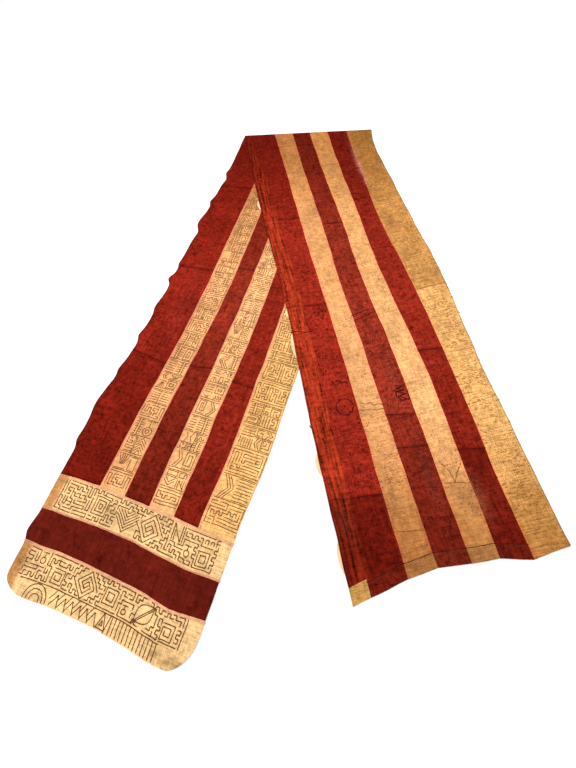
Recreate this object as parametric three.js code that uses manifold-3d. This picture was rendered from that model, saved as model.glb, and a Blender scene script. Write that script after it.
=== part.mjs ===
import * as THREE from 'three';
import { mergeVertices } from 'three/addons/utils/BufferGeometryUtils.js';
import Module from 'manifold-3d';

// A kuba cloth: six lengthwise stripes of pieced raffia cloth, three bands across one end.
// It lies on the floor, folded once over a straight crease, with its two arms spread like a V.
// The lower arm shows the front of the cloth and the upper arm shows the back.
// The crease runs along X at y = 0, and both arms lie towards -Y. Lengths are in millimetres.

const wasm = await Module();
wasm.setup();
const { clamp, lerp, smoothstep } = THREE.MathUtils;

const sheetThickness = 2;
const layerGap = 0.6; // between the two arms where one lies on the other
const seamGap = 0.5; // between two pieces that are sewn edge to edge
const foldRadius = 3.2; // outside of the fold
const creaseReach = 90; // how far from the crease the upper arm still stands a little high
const rowStep = 50; // between two rows of points along the cloth
const wavyRowStep = 18; // the same along the wavy outer edge of the lower arm

// Where the upper arm bridges from the lower arm's edge down to the floor
const bridge = 75;
const settle = 60;

// Turned hems of the upper arm, which lie on the back of the cloth and so on top
const hemRaise = 1.3;
const sideHem = { atCrease: 38, wide: 82, reach: 620, step: 3, starts: 60 };
const endHem = { deep: 42, step: 4 };

// Broad, low swells of the cloth where nothing lies on it
const swell = { high: 2.4, along: 430, across: 260, slow: 1300, margin: 70, fade: 120 };

// Where the stripe edges lie at a distance from the crease, counted along X from the crease's left end
const stripeEdges = ['outerA', 'ab', 'bc', 'cd', 'de', 'ef', 'outerF'];
const lowerArm = [
  { from: 0, outerA: 0, ab: 189, bc: 301, cd: 407, de: 516, ef: 630, outerF: 783 },
  { from: 200, outerA: -38, ab: 150, bc: 261, cd: 364, de: 472, ef: 584, outerF: 742 },
  { from: 400, outerA: -81, ab: 112, bc: 220, cd: 320, de: 427, ef: 537, outerF: 698 },
  { from: 600, outerA: -131, ab: 66, bc: 178, cd: 276, de: 382, ef: 490, outerF: 650 },
  { from: 800, outerA: -177, ab: 17, bc: 136, cd: 231, de: 338, ef: 442, outerF: 601 },
  { from: 1000, outerA: -226, ab: -29, bc: 92, cd: 186, de: 293, ef: 395, outerF: 552 },
  { from: 1200, outerA: -275, ab: -76, bc: 45, cd: 139, de: 248, ef: 348, outerF: 506 },
  { from: 1400, outerA: -328, ab: -129, bc: -12, cd: 86, de: 200, ef: 300, outerF: 460 },
  { from: 1600, outerA: -389, ab: -190, bc: -75, cd: 34, de: 147, ef: 251, outerF: 413 },
  { from: 1800, outerA: -462, ab: -254, bc: -138, cd: -24, de: 88, ef: 200, outerF: 358 },
  { from: 2000, outerA: -504, ab: -311, bc: -193, cd: -81, de: 36, ef: 148, outerF: 306 },
  { from: 2200, outerA: -554, ab: -362, bc: -245, cd: -133, de: -23, ef: 84, outerF: 236 },
  { from: 2400, outerA: -600, ab: -410, bc: -293, cd: -184, de: -66, ef: 36, outerF: 178 },
  { from: 2600, outerA: -642, ab: -456, bc: -340, cd: -234, de: -118, ef: -12, outerF: 122 },
  { from: 2800, outerA: -697, ab: -502, bc: -387, cd: -284, de: -170, ef: -68, outerF: 62 },
];
const upperArm = [
  { from: 0, outerA: 0, ab: 189, bc: 301, cd: 407, de: 516, ef: 630, outerF: 783 },
  { from: 100, outerA: 24, ab: 216, bc: 326, cd: 431, de: 539, ef: 651, outerF: 789 },
  { from: 200, outerA: 49, ab: 243, bc: 350, cd: 456, de: 562, ef: 673, outerF: 808 },
  { from: 400, outerA: 97, ab: 296, bc: 402, cd: 507, de: 611, ef: 718, outerF: 866 },
  { from: 600, outerA: 148, ab: 347, bc: 455, cd: 562, de: 664, ef: 762, outerF: 921 },
  { from: 800, outerA: 204, ab: 398, bc: 508, cd: 616, de: 714, ef: 814, outerF: 978 },
  { from: 1000, outerA: 262, ab: 451, bc: 555, cd: 664, de: 763, ef: 881, outerF: 1040 },
  { from: 1200, outerA: 317, ab: 507, bc: 606, cd: 718, de: 822, ef: 941, outerF: 1089 },
  { from: 1400, outerA: 369, ab: 563, bc: 664, cd: 781, de: 885, ef: 997, outerF: 1130 },
  { from: 1600, outerA: 414, ab: 616, bc: 717, cd: 838, de: 947, ef: 1048, outerF: 1174 },
  { from: 1800, outerA: 461, ab: 667, bc: 769, cd: 890, de: 996, ef: 1099, outerF: 1228 },
  { from: 2000, outerA: 511, ab: 717, bc: 822, cd: 941, de: 1043, ef: 1143, outerF: 1280 },
  { from: 2200, outerA: 563, ab: 768, bc: 876, cd: 993, de: 1092, ef: 1198, outerF: 1331 },
  { from: 2400, outerA: 615, ab: 820, bc: 930, cd: 1045, de: 1142, ef: 1248, outerF: 1387 },
  { from: 2600, outerA: 667, ab: 872, bc: 984, cd: 1097, de: 1192, ef: 1298, outerF: 1438 },
];

// Lines across the cloth, as their distance from the crease at each stripe edge
const stripesEnd = [2083, 2122, 2153, 2182, 2213, 2243, 2283];
const lightBandEnd = [2210, 2249, 2274, 2305, 2343, 2373, 2404];
const darkBandEnd = [2322, 2363, 2393, 2423, 2458, 2494, 2518];
const lowerEnd = [2488, 2521, 2545, 2572, 2606, 2643, 2675];
const upperEnd = [2442, 2352, 2311, 2290, 2270, 2266, 2216];

// Rounded corners of the last band
const roundA = { across: 105, along: 62 };
const roundF = { across: 85, along: 110 };

// Seams across each stripe, as stations at its two edges: below zero on the lower arm, above zero on the upper
const red = 0x8c2219;
const light = 0xd8a26a;
const gold = 0xcf9a45;
const maroon = 0x5c1511;
const cream = 0xe8d2a0;
const stripes = [
  {
    name: 'red_a',
    color: red,
    seams: [[-1520, -1590], [-1034, -1067], [-450, -475], [738, 722], [1295, 1266], [2122, 2090]],
  },
  { name: 'light_b', color: light, seams: [[128, 118], [1778, 1768], [2212, 2200]] },
  {
    name: 'red_c',
    color: red,
    seams: [[-1598, -1611], [-1050, -1066], [118, 116], [768, 757], [1358, 1304], [1793, 1783], [1925, 1905]],
  },
  { name: 'light_d', color: light, seams: [[-420, -420], [2040, 2033]] },
  {
    name: 'red_e',
    color: red,
    seams: [[-1667, -1701], [-1173, -1178], [-420, -420], [1505, 1490], [1918, 1907]],
  },
  { name: 'gold_f', color: gold, seams: [[-420, -420], [1190, 1143]] },
];

// Small folds along the outer edge of stripe A on the lower arm: how far each bulges out and up, how long it
// rises, and how far the edge is notched in behind it
const edgeFolds = [
  { from: 350, out: 6, up: 6, long: 34, notch: 8 },
  { from: 580, out: 9, up: 6, long: 36, notch: 0 },
  { from: 752, out: 12, up: 8, long: 75, notch: 8 },
  { from: 1020, out: 4, up: 4, long: 32, notch: 1 },
  { from: 1122, out: 13, up: 8, long: 34, notch: 3 },
  { from: 1290, out: 6, up: 5, long: 50, notch: 0 },
  { from: 1448, out: 5, up: 7, long: 36, notch: 6 },
  { from: 1622, out: 5, up: 5, long: 40, notch: 2 },
  { from: 1790, out: 3, up: 5, long: 80, notch: 0 },
  { from: 1945, out: 5, up: 4, long: 40, notch: 3 },
  { from: 2290, out: 8, up: 2, long: 45, notch: 4 },
];
const foldFall = 0.5; // length of a fold's falling side, as a share of its rising side
const notch = { behind: 52, long: 30 };
const edgeFoldReach = 62; // from the outer edge into the cloth

// Corners that lift a little off the floor
const curls = [
  { x: 128, y: -2640, reach: 150, up: 9 },
  { x: 1336, y: -2210, reach: 130, up: 6 },
];

// Slips of light cloth that show past the outer edge of stripe A
const slips = [
  { arm: -1, from: 396, to: 424, wide: 6 },
  { arm: 1, from: 580, to: 655, wide: 12 },
  { arm: 1, from: 1300, to: 1345, wide: 11 },
  { arm: 1, from: 1433, to: 1553, wide: 14 },
  { arm: 1, from: 1960, to: 2040, wide: 14 },
  { arm: 1, from: 2262, to: 2350, wide: 11 },
];
const slipThickness = 1.5;
const slipLeast = 3; // width at its two ends
const slipRound = 0.7; // how blunt its ends are: 1 for a plain arch, less for blunter

// A light patch in the corner of the upper arm, as a share of stripe A's width and a depth from the end
const cornerPatch = { share: 0.33, deep: 52, color: 0xc99a55 };

// Shape of the lying cloth

const edgeCurves = [lowerArm, upperArm].map((rows) => new THREE.CubicInterpolant(
  rows.map((row) => row.from),
  rows.flatMap((row) => stripeEdges.map((name) => row[name])),
  stripeEdges.length,
));

// X of the line at v stripe widths from the outer edge of stripe A
function lineX(station, v) {
  const edges = edgeCurves[station < 0 ? 0 : 1].evaluate(Math.abs(station));
  const stripe = clamp(Math.floor(v), 0, stripes.length - 1);
  return lerp(edges[stripe], edges[stripe + 1], v - stripe);
}

function acrossLine(line, v) {
  const stripe = clamp(Math.floor(v), 0, stripes.length - 1);
  return lerp(line[stripe], line[stripe + 1], v - stripe);
}

const halfTurn = (Math.PI / 2) * (foldRadius - sheetThickness / 2); // station where the fold meets an arm

function stationY(station) {
  return -foldRadius - (Math.abs(station) - halfTurn);
}

function sideHemWidth(station) {
  return lerp(sideHem.atCrease, sideHem.wide, smoothstep(station, 0, sideHem.reach));
}

function edgeFoldAt(distance) {
  return edgeFolds.reduce((sum, fold) => {
    const past = distance - fold.from;
    const share = Math.exp(-((past / (past > 0 ? fold.long * foldFall : fold.long)) ** 2));
    const drawnIn = fold.notch * Math.exp(-(((past - notch.behind) / notch.long) ** 2));
    return { out: sum.out + fold.out * share - drawnIn, up: sum.up + fold.up * share };
  }, { out: 0, up: 0 });
}

function curlAt(x, y) {
  return curls.reduce((sum, curl) => {
    const near = 1 - Math.hypot(x - curl.x, y - curl.y) / curl.reach;
    return sum + curl.up * Math.max(near, 0) ** 2;
  }, 0);
}

function swellAt(station, x) {
  const turn = 2 * Math.PI;
  const wave = Math.sin((turn * station) / swell.along + x / swell.across)
    * Math.sin((turn * station) / swell.slow + (turn * x) / swell.across / 2);
  return swell.high * Math.max(wave, 0);
}

// Height of the cloth's underside, away from the fold itself
function undersideAt(station, x) {
  const distance = Math.abs(station);
  const curl = curlAt(x, stationY(station));
  if (station < 0) {
    const uncovered = (lineX(distance, 0) - x - swell.margin) / swell.fade;
    return curl + swellAt(station, x) * clamp(uncovered, 0, 1);
  }
  const overFloor = smoothstep(x - lineX(-distance, stripes.length), bridge, bridge + settle);
  const onLower = (sheetThickness + layerGap) * (1 - overFloor);
  const creaseLift = 2 * (foldRadius - sheetThickness) - layerGap;
  const nearCrease = 1 - smoothstep(distance, halfTurn, creaseReach);
  return onLower + creaseLift * nearCrease + curl + swellAt(station, x) * (1 - nearCrease);
}

function topRaiseAt(station, v, x, hemmedEnd) {
  if (station < sideHem.starts) {
    return 0;
  }
  const intoSideHem = (sideHemWidth(station) - (x - lineX(station, 0))) / sideHem.step;
  const hemStart = acrossLine(upperEnd, v) - endHem.deep - endHem.step;
  const intoEndHem = hemmedEnd ? (station - hemStart) / endHem.step : 0;
  return hemRaise * clamp(Math.max(intoSideHem, intoEndHem), 0, 1);
}

// The two faces of the cloth at a station, v stripe widths across, with its place along X already inset
function clothPoint(station, v, x, hemmedEnd = false) {
  if (Math.abs(station) < halfTurn) {
    const angle = (station / halfTurn) * (Math.PI / 2);
    const onCircle = (radius) => new THREE.Vector3(
      x,
      -foldRadius + radius * Math.cos(angle),
      foldRadius + radius * Math.sin(angle),
    );
    return { back: onCircle(foldRadius), front: onCircle(foldRadius - sheetThickness) };
  }
  const y = stationY(station);
  let under = undersideAt(station, x);
  let placeX = x;
  if (station < 0) {
    const fold = edgeFoldAt(-station);
    const nearEdge = 1 - smoothstep(x - lineX(station, 0), 0, edgeFoldReach);
    under += fold.up * nearEdge;
    placeX -= fold.out * nearEdge;
  }
  const over = under + sheetThickness + topRaiseAt(station, v, x, hemmedEnd);
  const low = new THREE.Vector3(placeX, y, under);
  const high = new THREE.Vector3(placeX, y, over);
  return station < 0 ? { back: low, front: high } : { back: high, front: low };
}

// A closed solid from a grid of points, rows along the cloth and columns across it
function gridSolid(grid) {
  const rows = grid.length;
  const columns = grid[0].length;
  const positions = [];
  ['back', 'front'].forEach((face) => grid.flat().forEach((point) => positions.push(...point[face])));
  const back = (row, column) => row * columns + column;
  const front = (row, column) => back(row, column) + rows * columns;
  const faces = [];
  const quad = (a, b, c, d) => faces.push(a, b, c, a, c, d);
  for (let row = 0; row + 1 < rows; row += 1) {
    for (let column = 0; column + 1 < columns; column += 1) {
      quad(back(row, column), back(row + 1, column), back(row + 1, column + 1), back(row, column + 1));
      quad(front(row, column), front(row, column + 1), front(row + 1, column + 1), front(row + 1, column));
    }
    const last = columns - 1;
    quad(back(row, 0), front(row, 0), front(row + 1, 0), back(row + 1, 0));
    quad(back(row, last), back(row + 1, last), front(row + 1, last), front(row, last));
  }
  for (let column = 0; column + 1 < columns; column += 1) {
    const last = rows - 1;
    quad(back(0, column), back(0, column + 1), front(0, column + 1), front(0, column));
    quad(back(last, column), front(last, column), front(last, column + 1), back(last, column + 1));
  }
  const geometry = new THREE.BufferGeometry();
  geometry.setAttribute('position', new THREE.Float32BufferAttribute(positions, 3));
  geometry.setIndex(faces);
  geometry.computeVertexNormals();
  return geometry;
}

function clothMesh(name, geometry, color) {
  const mesh = new THREE.Mesh(geometry, new THREE.MeshStandardMaterial({ color, roughness: 0.9, metalness: 0 }));
  mesh.name = name;
  return mesh;
}

function toManifold(geometry) {
  const plain = geometry.clone();
  plain.deleteAttribute('normal');
  plain.deleteAttribute('uv');
  const merged = mergeVertices(plain, 1e-4);
  return new wasm.Manifold(new wasm.Mesh({
    numProp: 3,
    vertProperties: new Float32Array(merged.attributes.position.array),
    triVerts: new Uint32Array(merged.index.array),
  }));
}

function toGeometry(manifold) {
  const { vertProperties, triVerts } = manifold.getMesh();
  const geometry = new THREE.BufferGeometry();
  geometry.setAttribute('position', new THREE.BufferAttribute(vertProperties, 3));
  geometry.setIndex(new THREE.BufferAttribute(triVerts, 1));
  geometry.computeVertexNormals();
  return geometry;
}

// Pieces

// Rows from one pair of stations to another, at most a step apart
function rowsBetween(start, end, step) {
  const count = Math.max(1, Math.ceil(Math.max(end[0] - start[0], end[1] - start[1]) / step));
  return Array.from({ length: count }, (_, row) => [
    lerp(start[0], end[0], row / count),
    lerp(start[1], end[1], row / count),
  ]);
}

const creaseRows = [-100, -60, -30, -1, -2 / 3, -1 / 3, 0, 1 / 3, 2 / 3, 1, 30, 60, 100]
  .map((at) => (Math.abs(at) <= 1 ? at * halfTurn : at))
  .map((station) => [station, station]);

function panelRows(start, end, step, hemmedEnd) {
  const first = [start[0] + seamGap / 2, start[1] + seamGap / 2];
  const last = [end[0] - seamGap / 2, end[1] - seamGap / 2];
  const marks = [first];
  if (first[0] < 0 && last[0] > 0) {
    marks.push(...creaseRows);
  }
  if (hemmedEnd) {
    const deep = endHem.deep;
    marks.push(end.map((station) => station - deep - endHem.step), end.map((station) => station - deep));
  }
  marks.push(last);
  const stops = marks.slice(1).flatMap((mark, index) => rowsBetween(marks[index], mark, step));
  return [...stops, last];
}

// Shares of the stripe's width at which a row has its points
function panelColumns(stripe, station) {
  if (stripe > 0) {
    return stripe + 1 < stripes.length ? [0, 0.5, 1] : [0, 0.33, 0.67, 1];
  }
  if (station < 0) {
    return [0, 0.12, 0.3, 0.6, 1];
  }
  const width = lineX(station, 1) - lineX(station, 0);
  const hem = sideHemWidth(station) / width;
  return [0, hem - sideHem.step / width, hem, (1 + hem) / 2, 1];
}

function panelGeometry(stripe, start, end, hemmedEnd) {
  const step = stripe === 0 && start[0] < 0 ? wavyRowStep : rowStep;
  const grid = panelRows(start, end, step, hemmedEnd).map((row) => (
    panelColumns(stripe, (row[0] + row[1]) / 2).map((share) => {
      const station = lerp(row[0], row[1], share);
      const left = lineX(station, stripe) + (stripe > 0 ? seamGap / 2 : 0);
      const right = lineX(station, stripe + 1) - (stripe + 1 < stripes.length ? seamGap / 2 : 0);
      return clothPoint(station, stripe + share, lerp(left, right, share), hemmedEnd);
    })
  ));
  return gridSolid(grid);
}

// The corner that the light patch fills, grown by a gap and cut right through stripe A
function cornerCutter(gap) {
  const outer = -cornerPatch.share;
  const inner = cornerPatch.share + gap / (lineX(upperEnd[0], 1) - lineX(upperEnd[0], 0));
  const deep = cornerPatch.deep + gap;
  const at = (share, inward) => {
    const station = acrossLine(upperEnd, share) - inward;
    return new THREE.Vector2(lineX(station, share), stationY(station));
  };
  const outline = new THREE.Shape([at(outer, -deep), at(inner, -deep), at(inner, deep), at(outer, deep)]);
  const geometry = new THREE.ExtrudeGeometry(outline, { depth: 6 * foldRadius, bevelEnabled: false });
  return geometry.translate(0, 0, -foldRadius);
}

function stripePanels(stripe) {
  const { name, color, seams } = stripes[stripe];
  const lines = [
    [-stripesEnd[stripe], -stripesEnd[stripe + 1]],
    ...seams,
    [upperEnd[stripe], upperEnd[stripe + 1]],
  ];
  return lines.slice(1).map((end, index) => {
    const isLast = index === lines.length - 2;
    const hemmedEnd = isLast && stripe + 1 < stripes.length;
    let geometry = panelGeometry(stripe, lines[index], end, hemmedEnd);
    if (isLast && stripe === 0) {
      geometry = toGeometry(toManifold(geometry).subtract(toManifold(cornerCutter(seamGap))));
    }
    return clothMesh(`${name}_panel_${index + 1}`, geometry, color);
  });
}

function cornerPatchMesh() {
  const rows = [cornerPatch.deep, cornerPatch.deep / 2, seamGap / 2];
  const grid = rows.map((inward) => [0, 0.5, 1].map((share) => {
    const v = share * cornerPatch.share;
    const station = acrossLine(upperEnd, v) - inward;
    return clothPoint(station, v, lineX(station, v), true);
  }));
  return clothMesh('corner_patch', gridSolid(grid), cornerPatch.color);
}

// How far a rounded corner draws the end back, at a distance from the side edge
function cornerDraw(corner, inward) {
  const rest = clamp(1 - inward / corner.across, 0, 1);
  return corner.along * (1 - Math.sqrt(1 - rest * rest));
}

function roundedEnd(v) {
  const station = acrossLine(lowerEnd, v);
  const x = lineX(-station, v);
  const fromA = cornerDraw(roundA, x - lineX(-station, 0));
  const fromF = cornerDraw(roundF, lineX(-station, stripes.length) - x);
  return station - Math.max(fromA, fromF);
}

function bandMesh(name, startAt, endAt, columns, color) {
  const rows = [0, 1 / 3, 2 / 3, 1];
  const grid = rows.map((along) => columns.map((v) => {
    const station = -lerp(endAt(v) - seamGap / 2, startAt(v) + seamGap / 2, along);
    return clothPoint(station, v, lineX(station, v));
  }));
  return clothMesh(name, gridSolid(grid), color);
}

const bandColumns = Array.from({ length: 2 * stripes.length + 1 }, (_, index) => index / 2);
const cornerColumns = [0.015, 0.05, 0.12, 0.22, 0.36];
const endBandColumns = [
  0,
  ...cornerColumns,
  ...bandColumns.slice(1, -1),
  ...cornerColumns.map((v) => stripes.length - v).reverse(),
  stripes.length,
];

function slipMesh(slip, index) {
  const steps = [0, 0.12, 0.3, 0.5, 0.7, 0.88, 1];
  const order = slip.arm < 0 ? [...steps].reverse() : steps;
  const grid = order.map((along) => {
    const station = slip.arm * lerp(slip.from, slip.to, along);
    const wide = slipLeast + (slip.wide - slipLeast) * Math.sin(Math.PI * along) ** slipRound;
    const seam = lineX(station, 0);
    return [wide, 0].map((outward) => {
      const point = clothPoint(station, 0, seam);
      const low = slip.arm < 0 ? point.back : point.front;
      const place = new THREE.Vector3(low.x - seamGap - outward, low.y, low.z);
      const top = place.clone().setZ(place.z + slipThickness);
      return slip.arm < 0 ? { back: place, front: top } : { back: top, front: place };
    });
  });
  return clothMesh(`edge_slip_${index + 1}`, gridSolid(grid), cream);
}

const cloth = new THREE.Group();
stripes.forEach((_, stripe) => cloth.add(...stripePanels(stripe)));
const lineAt = (line) => (v) => acrossLine(line, v);
cloth.add(
  cornerPatchMesh(),
  bandMesh('light_band', lineAt(stripesEnd), lineAt(lightBandEnd), bandColumns, light),
  bandMesh('dark_band', lineAt(lightBandEnd), lineAt(darkBandEnd), bandColumns, maroon),
  bandMesh('end_band', lineAt(darkBandEnd), roundedEnd, endBandColumns, light),
  ...slips.map(slipMesh),
);

// The origin is under the middle of the whole cloth, on the floor
const span = new THREE.Box3().setFromObject(cloth);
const middle = span.getCenter(new THREE.Vector3());
cloth.position.set(-middle.x, -middle.y, -span.min.z);

export default cloth;
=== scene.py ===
import math
import random

import bpy
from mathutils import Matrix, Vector, noise


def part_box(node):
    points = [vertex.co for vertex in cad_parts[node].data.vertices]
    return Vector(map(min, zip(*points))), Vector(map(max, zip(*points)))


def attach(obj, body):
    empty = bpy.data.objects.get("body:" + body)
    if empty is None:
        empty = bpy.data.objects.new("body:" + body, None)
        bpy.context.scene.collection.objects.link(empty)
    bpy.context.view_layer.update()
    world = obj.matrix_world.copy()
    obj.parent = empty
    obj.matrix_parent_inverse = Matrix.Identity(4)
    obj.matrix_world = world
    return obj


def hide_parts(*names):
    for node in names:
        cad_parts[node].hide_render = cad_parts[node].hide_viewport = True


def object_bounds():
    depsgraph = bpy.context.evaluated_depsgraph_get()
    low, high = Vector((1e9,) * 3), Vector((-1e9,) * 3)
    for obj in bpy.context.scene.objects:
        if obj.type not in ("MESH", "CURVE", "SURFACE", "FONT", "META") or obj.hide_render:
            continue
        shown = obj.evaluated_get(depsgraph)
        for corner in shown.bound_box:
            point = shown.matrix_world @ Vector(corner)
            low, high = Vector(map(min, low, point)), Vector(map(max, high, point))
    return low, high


# A long kuba cloth of raffia, folded once and spread in a V on the floor.
# The left arm shows the front of the cloth, with its embroidery, and the right arm shows the back.
# The shape is worked out in millimetres from the crease, as on a cutting plan, and placed in metres.

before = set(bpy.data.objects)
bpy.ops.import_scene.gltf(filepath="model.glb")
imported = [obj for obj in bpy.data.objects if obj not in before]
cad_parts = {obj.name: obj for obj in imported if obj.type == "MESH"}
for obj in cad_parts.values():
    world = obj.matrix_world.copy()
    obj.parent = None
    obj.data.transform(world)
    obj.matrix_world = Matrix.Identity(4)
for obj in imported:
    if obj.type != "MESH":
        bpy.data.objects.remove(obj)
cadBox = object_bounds()
mm = 0.001
print("frame loaded:", len(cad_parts), "nodes")

# Where each stripe edge lies at a distance from the crease: distance, then the seven edges along X
lowerEdges = [
    (0, 0, 189, 301, 407, 516, 630, 783),
    (200, -38, 150, 261, 364, 472, 584, 742),
    (400, -81, 112, 220, 320, 427, 537, 698),
    (600, -131, 66, 178, 276, 382, 490, 650),
    (800, -177, 17, 136, 231, 338, 442, 601),
    (1000, -226, -29, 92, 186, 293, 395, 552),
    (1200, -275, -76, 45, 139, 248, 348, 506),
    (1400, -328, -129, -12, 86, 200, 300, 460),
    (1600, -389, -190, -75, 34, 147, 251, 413),
    (1800, -462, -254, -138, -24, 88, 200, 358),
    (2000, -504, -311, -193, -81, 36, 148, 306),
    (2200, -554, -362, -245, -133, -23, 84, 236),
    (2400, -600, -410, -293, -184, -66, 36, 178),
    (2600, -642, -456, -340, -234, -118, -12, 122),
    (2800, -697, -502, -387, -284, -170, -68, 62),
]
upperEdges = [
    (0, 0, 189, 301, 407, 516, 630, 783),
    (100, 24, 216, 326, 431, 539, 651, 789),
    (200, 49, 243, 350, 456, 562, 673, 808),
    (400, 97, 296, 402, 507, 611, 718, 866),
    (600, 148, 347, 455, 562, 664, 762, 921),
    (800, 204, 398, 508, 616, 714, 814, 978),
    (1000, 262, 451, 555, 664, 763, 881, 1040),
    (1200, 317, 507, 606, 718, 822, 941, 1089),
    (1400, 369, 563, 664, 781, 885, 997, 1130),
    (1600, 414, 616, 717, 838, 947, 1048, 1174),
    (1800, 461, 667, 769, 890, 996, 1099, 1228),
    (2000, 511, 717, 822, 941, 1043, 1143, 1280),
    (2200, 563, 768, 876, 993, 1092, 1198, 1331),
    (2400, 615, 820, 930, 1045, 1142, 1248, 1387),
    (2600, 667, 872, 984, 1097, 1192, 1298, 1438),
]

# Lines across the cloth, as distances from the crease at the seven stripe edges
crossLines = {
    "stripesEnd": (2083, 2122, 2153, 2182, 2213, 2243, 2283),
    "lightBandEnd": (2210, 2249, 2274, 2305, 2343, 2373, 2404),
    "darkBandEnd": (2322, 2363, 2393, 2423, 2458, 2494, 2518),
    "lowerEnd": (2488, 2521, 2545, 2572, 2606, 2643, 2675),
    "upperEnd": (2442, 2352, 2311, 2290, 2270, 2266, 2216),
}

# How the cloth lies, in millimetres
lie = {
    "sheet": 2.0, "skin": 0.2,  # the room for the sheet, and how far its faces stay inside that
    "layerGap": 0.6, "foldRadius": 3.2, "creaseReach": 90, "bridge": 75, "settle": 60,
    "hemRaise": 1.3, "sideHemAtCrease": 38, "sideHemWide": 82, "sideHemReach": 620,
    "sideHemStep": 3, "sideHemStarts": 60, "endHem": 42, "endHemStep": 4,
    "swellHigh": 2.4, "swellAlong": 430, "swellAcross": 260, "swellSlow": 1300,
    "swellMargin": 70, "swellFade": 120, "edgeFoldReach": 62,
    "foldFall": 0.5, "notchBehind": 52, "notchLong": 30,
    "cornerA": (105, 62), "cornerF": (85, 110),  # across and along
    "patchShare": 0.33, "patchDeep": 52,
}
edgeFolds = [  # distance from the crease, out, up, long, notch behind it
    (350, 6, 6, 34, 8), (580, 9, 6, 36, 0), (752, 12, 8, 75, 8), (1020, 4, 4, 32, 1), (1122, 13, 8, 34, 3),
    (1290, 6, 5, 50, 0), (1448, 5, 7, 36, 6), (1622, 5, 5, 40, 2), (1790, 3, 5, 80, 0), (1945, 5, 4, 40, 3),
    (2290, 8, 2, 45, 4),
]
curls = [(128, -2640, 150, 9), (1336, -2210, 130, 6)]  # x, y, reach, up
slips = [  # arm, from, to, wide
    (-1, 396, 424, 6), (1, 580, 655, 12), (1, 1300, 1345, 11),
    (1, 1433, 1553, 14), (1, 1960, 2040, 14), (1, 2262, 2350, 11),
]

# The small unevenness that handwork and wear give the cloth, in millimetres
uneven = {
    "wobble": 2.6, "wobbleLong": 85, "crumple": 0.6, "crumpleLong": 48,
    "seamDip": 0.6, "seamReach": 8, "calmAtCrease": (12, 70),
}
halfTurn = math.pi / 2 * (lie["foldRadius"] - lie["sheet"] / 2)


def clamp(value, low=0.0, high=1.0):
    return min(max(value, low), high)


def lerp(a, b, share):
    return a + (b - a) * share


def smooth(value, low, high):
    t = clamp((value - low) / (high - low))
    return t * t * (3 - 2 * t)


# A smooth curve through the edge table, with the mean of the neighbouring slopes at each row
def edgeCurve(rows):
    at = [row[0] for row in rows]
    slopes = []
    for i in range(len(rows)):
        near = [j for j in (i - 1, i) if 0 <= j < len(rows) - 1]
        slopes.append([
            sum((rows[j + 1][k] - rows[j][k]) / (at[j + 1] - at[j]) for j in near) / len(near)
            for k in range(1, 8)
        ])

    def evaluate(distance, edge):
        i = 0
        while i < len(rows) - 2 and distance > at[i + 1]:
            i += 1
        span = at[i + 1] - at[i]
        p = (distance - at[i]) / span
        start = rows[i][edge + 1]
        chord = rows[i + 1][edge + 1] - start
        leave, arrive = slopes[i][edge] * span, slopes[i + 1][edge] * span
        return start + p * (leave + p * (3 * chord - 2 * leave - arrive + p * (leave + arrive - 2 * chord)))

    return evaluate


lowerX, upperX = edgeCurve(lowerEdges), edgeCurve(upperEdges)


# X of the line that lies v stripe widths from the outer edge of the first stripe
def lineX(station, v):
    stripe = int(clamp(math.floor(v), 0, 5))
    curve = lowerX if station < 0 else upperX
    left, right = curve(abs(station), stripe), curve(abs(station), stripe + 1)
    return lerp(left, right, v - stripe)


def acrossLine(name, v):
    line = crossLines[name]
    stripe = int(clamp(math.floor(v), 0, 5))
    return lerp(line[stripe], line[stripe + 1], v - stripe)


def stationY(station):
    return -lie["foldRadius"] - (abs(station) - halfTurn)


def sideHemWidth(station):
    return lerp(lie["sideHemAtCrease"], lie["sideHemWide"], smooth(station, 0, lie["sideHemReach"]))


def edgeFoldAt(distance):
    out = up = 0
    for at, foldOut, foldUp, long, notch in edgeFolds:
        past = distance - at
        share = math.exp(-((past / (long * lie["foldFall"] if past > 0 else long)) ** 2))
        out += foldOut * share - notch * math.exp(-(((past - lie["notchBehind"]) / lie["notchLong"]) ** 2))
        up += foldUp * share
    return out, up


def undersideAt(station, x):
    distance, y = abs(station), stationY(station)
    curl = sum(up * max(1 - math.hypot(x - cx, y - cy) / reach, 0) ** 2 for cx, cy, reach, up in curls)
    turn = 2 * math.pi
    wave = math.sin(turn * station / lie["swellAlong"] + x / lie["swellAcross"])
    wave *= math.sin(turn * station / lie["swellSlow"] + turn * x / lie["swellAcross"] / 2)
    swell = lie["swellHigh"] * max(wave, 0)
    if station < 0:
        uncovered = (lineX(distance, 0) - x - lie["swellMargin"]) / lie["swellFade"]
        return curl + swell * clamp(uncovered)
    beside = x - lineX(-distance, 6)
    offEdge = smooth(beside, lie["bridge"], lie["bridge"] + lie["settle"])
    onLower = (lie["sheet"] + lie["layerGap"]) * (1 - offEdge)
    creaseLift = 2 * (lie["foldRadius"] - lie["sheet"]) - lie["layerGap"]
    nearCrease = 1 - smooth(distance, halfTurn, lie["creaseReach"])
    return onLower + creaseLift * nearCrease + curl + swell * (1 - nearCrease)


def topRaise(station, v, x, hemmedEnd):
    if station < lie["sideHemStarts"]:
        return 0
    intoSide = (sideHemWidth(station) - (x - lineX(station, 0))) / lie["sideHemStep"]
    hemStart = acrossLine("upperEnd", v) - lie["endHem"] - lie["endHemStep"]
    intoEnd = (station - hemStart) / lie["endHemStep"] if hemmedEnd else 0
    return lie["hemRaise"] * clamp(max(intoSide, intoEnd))


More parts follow.
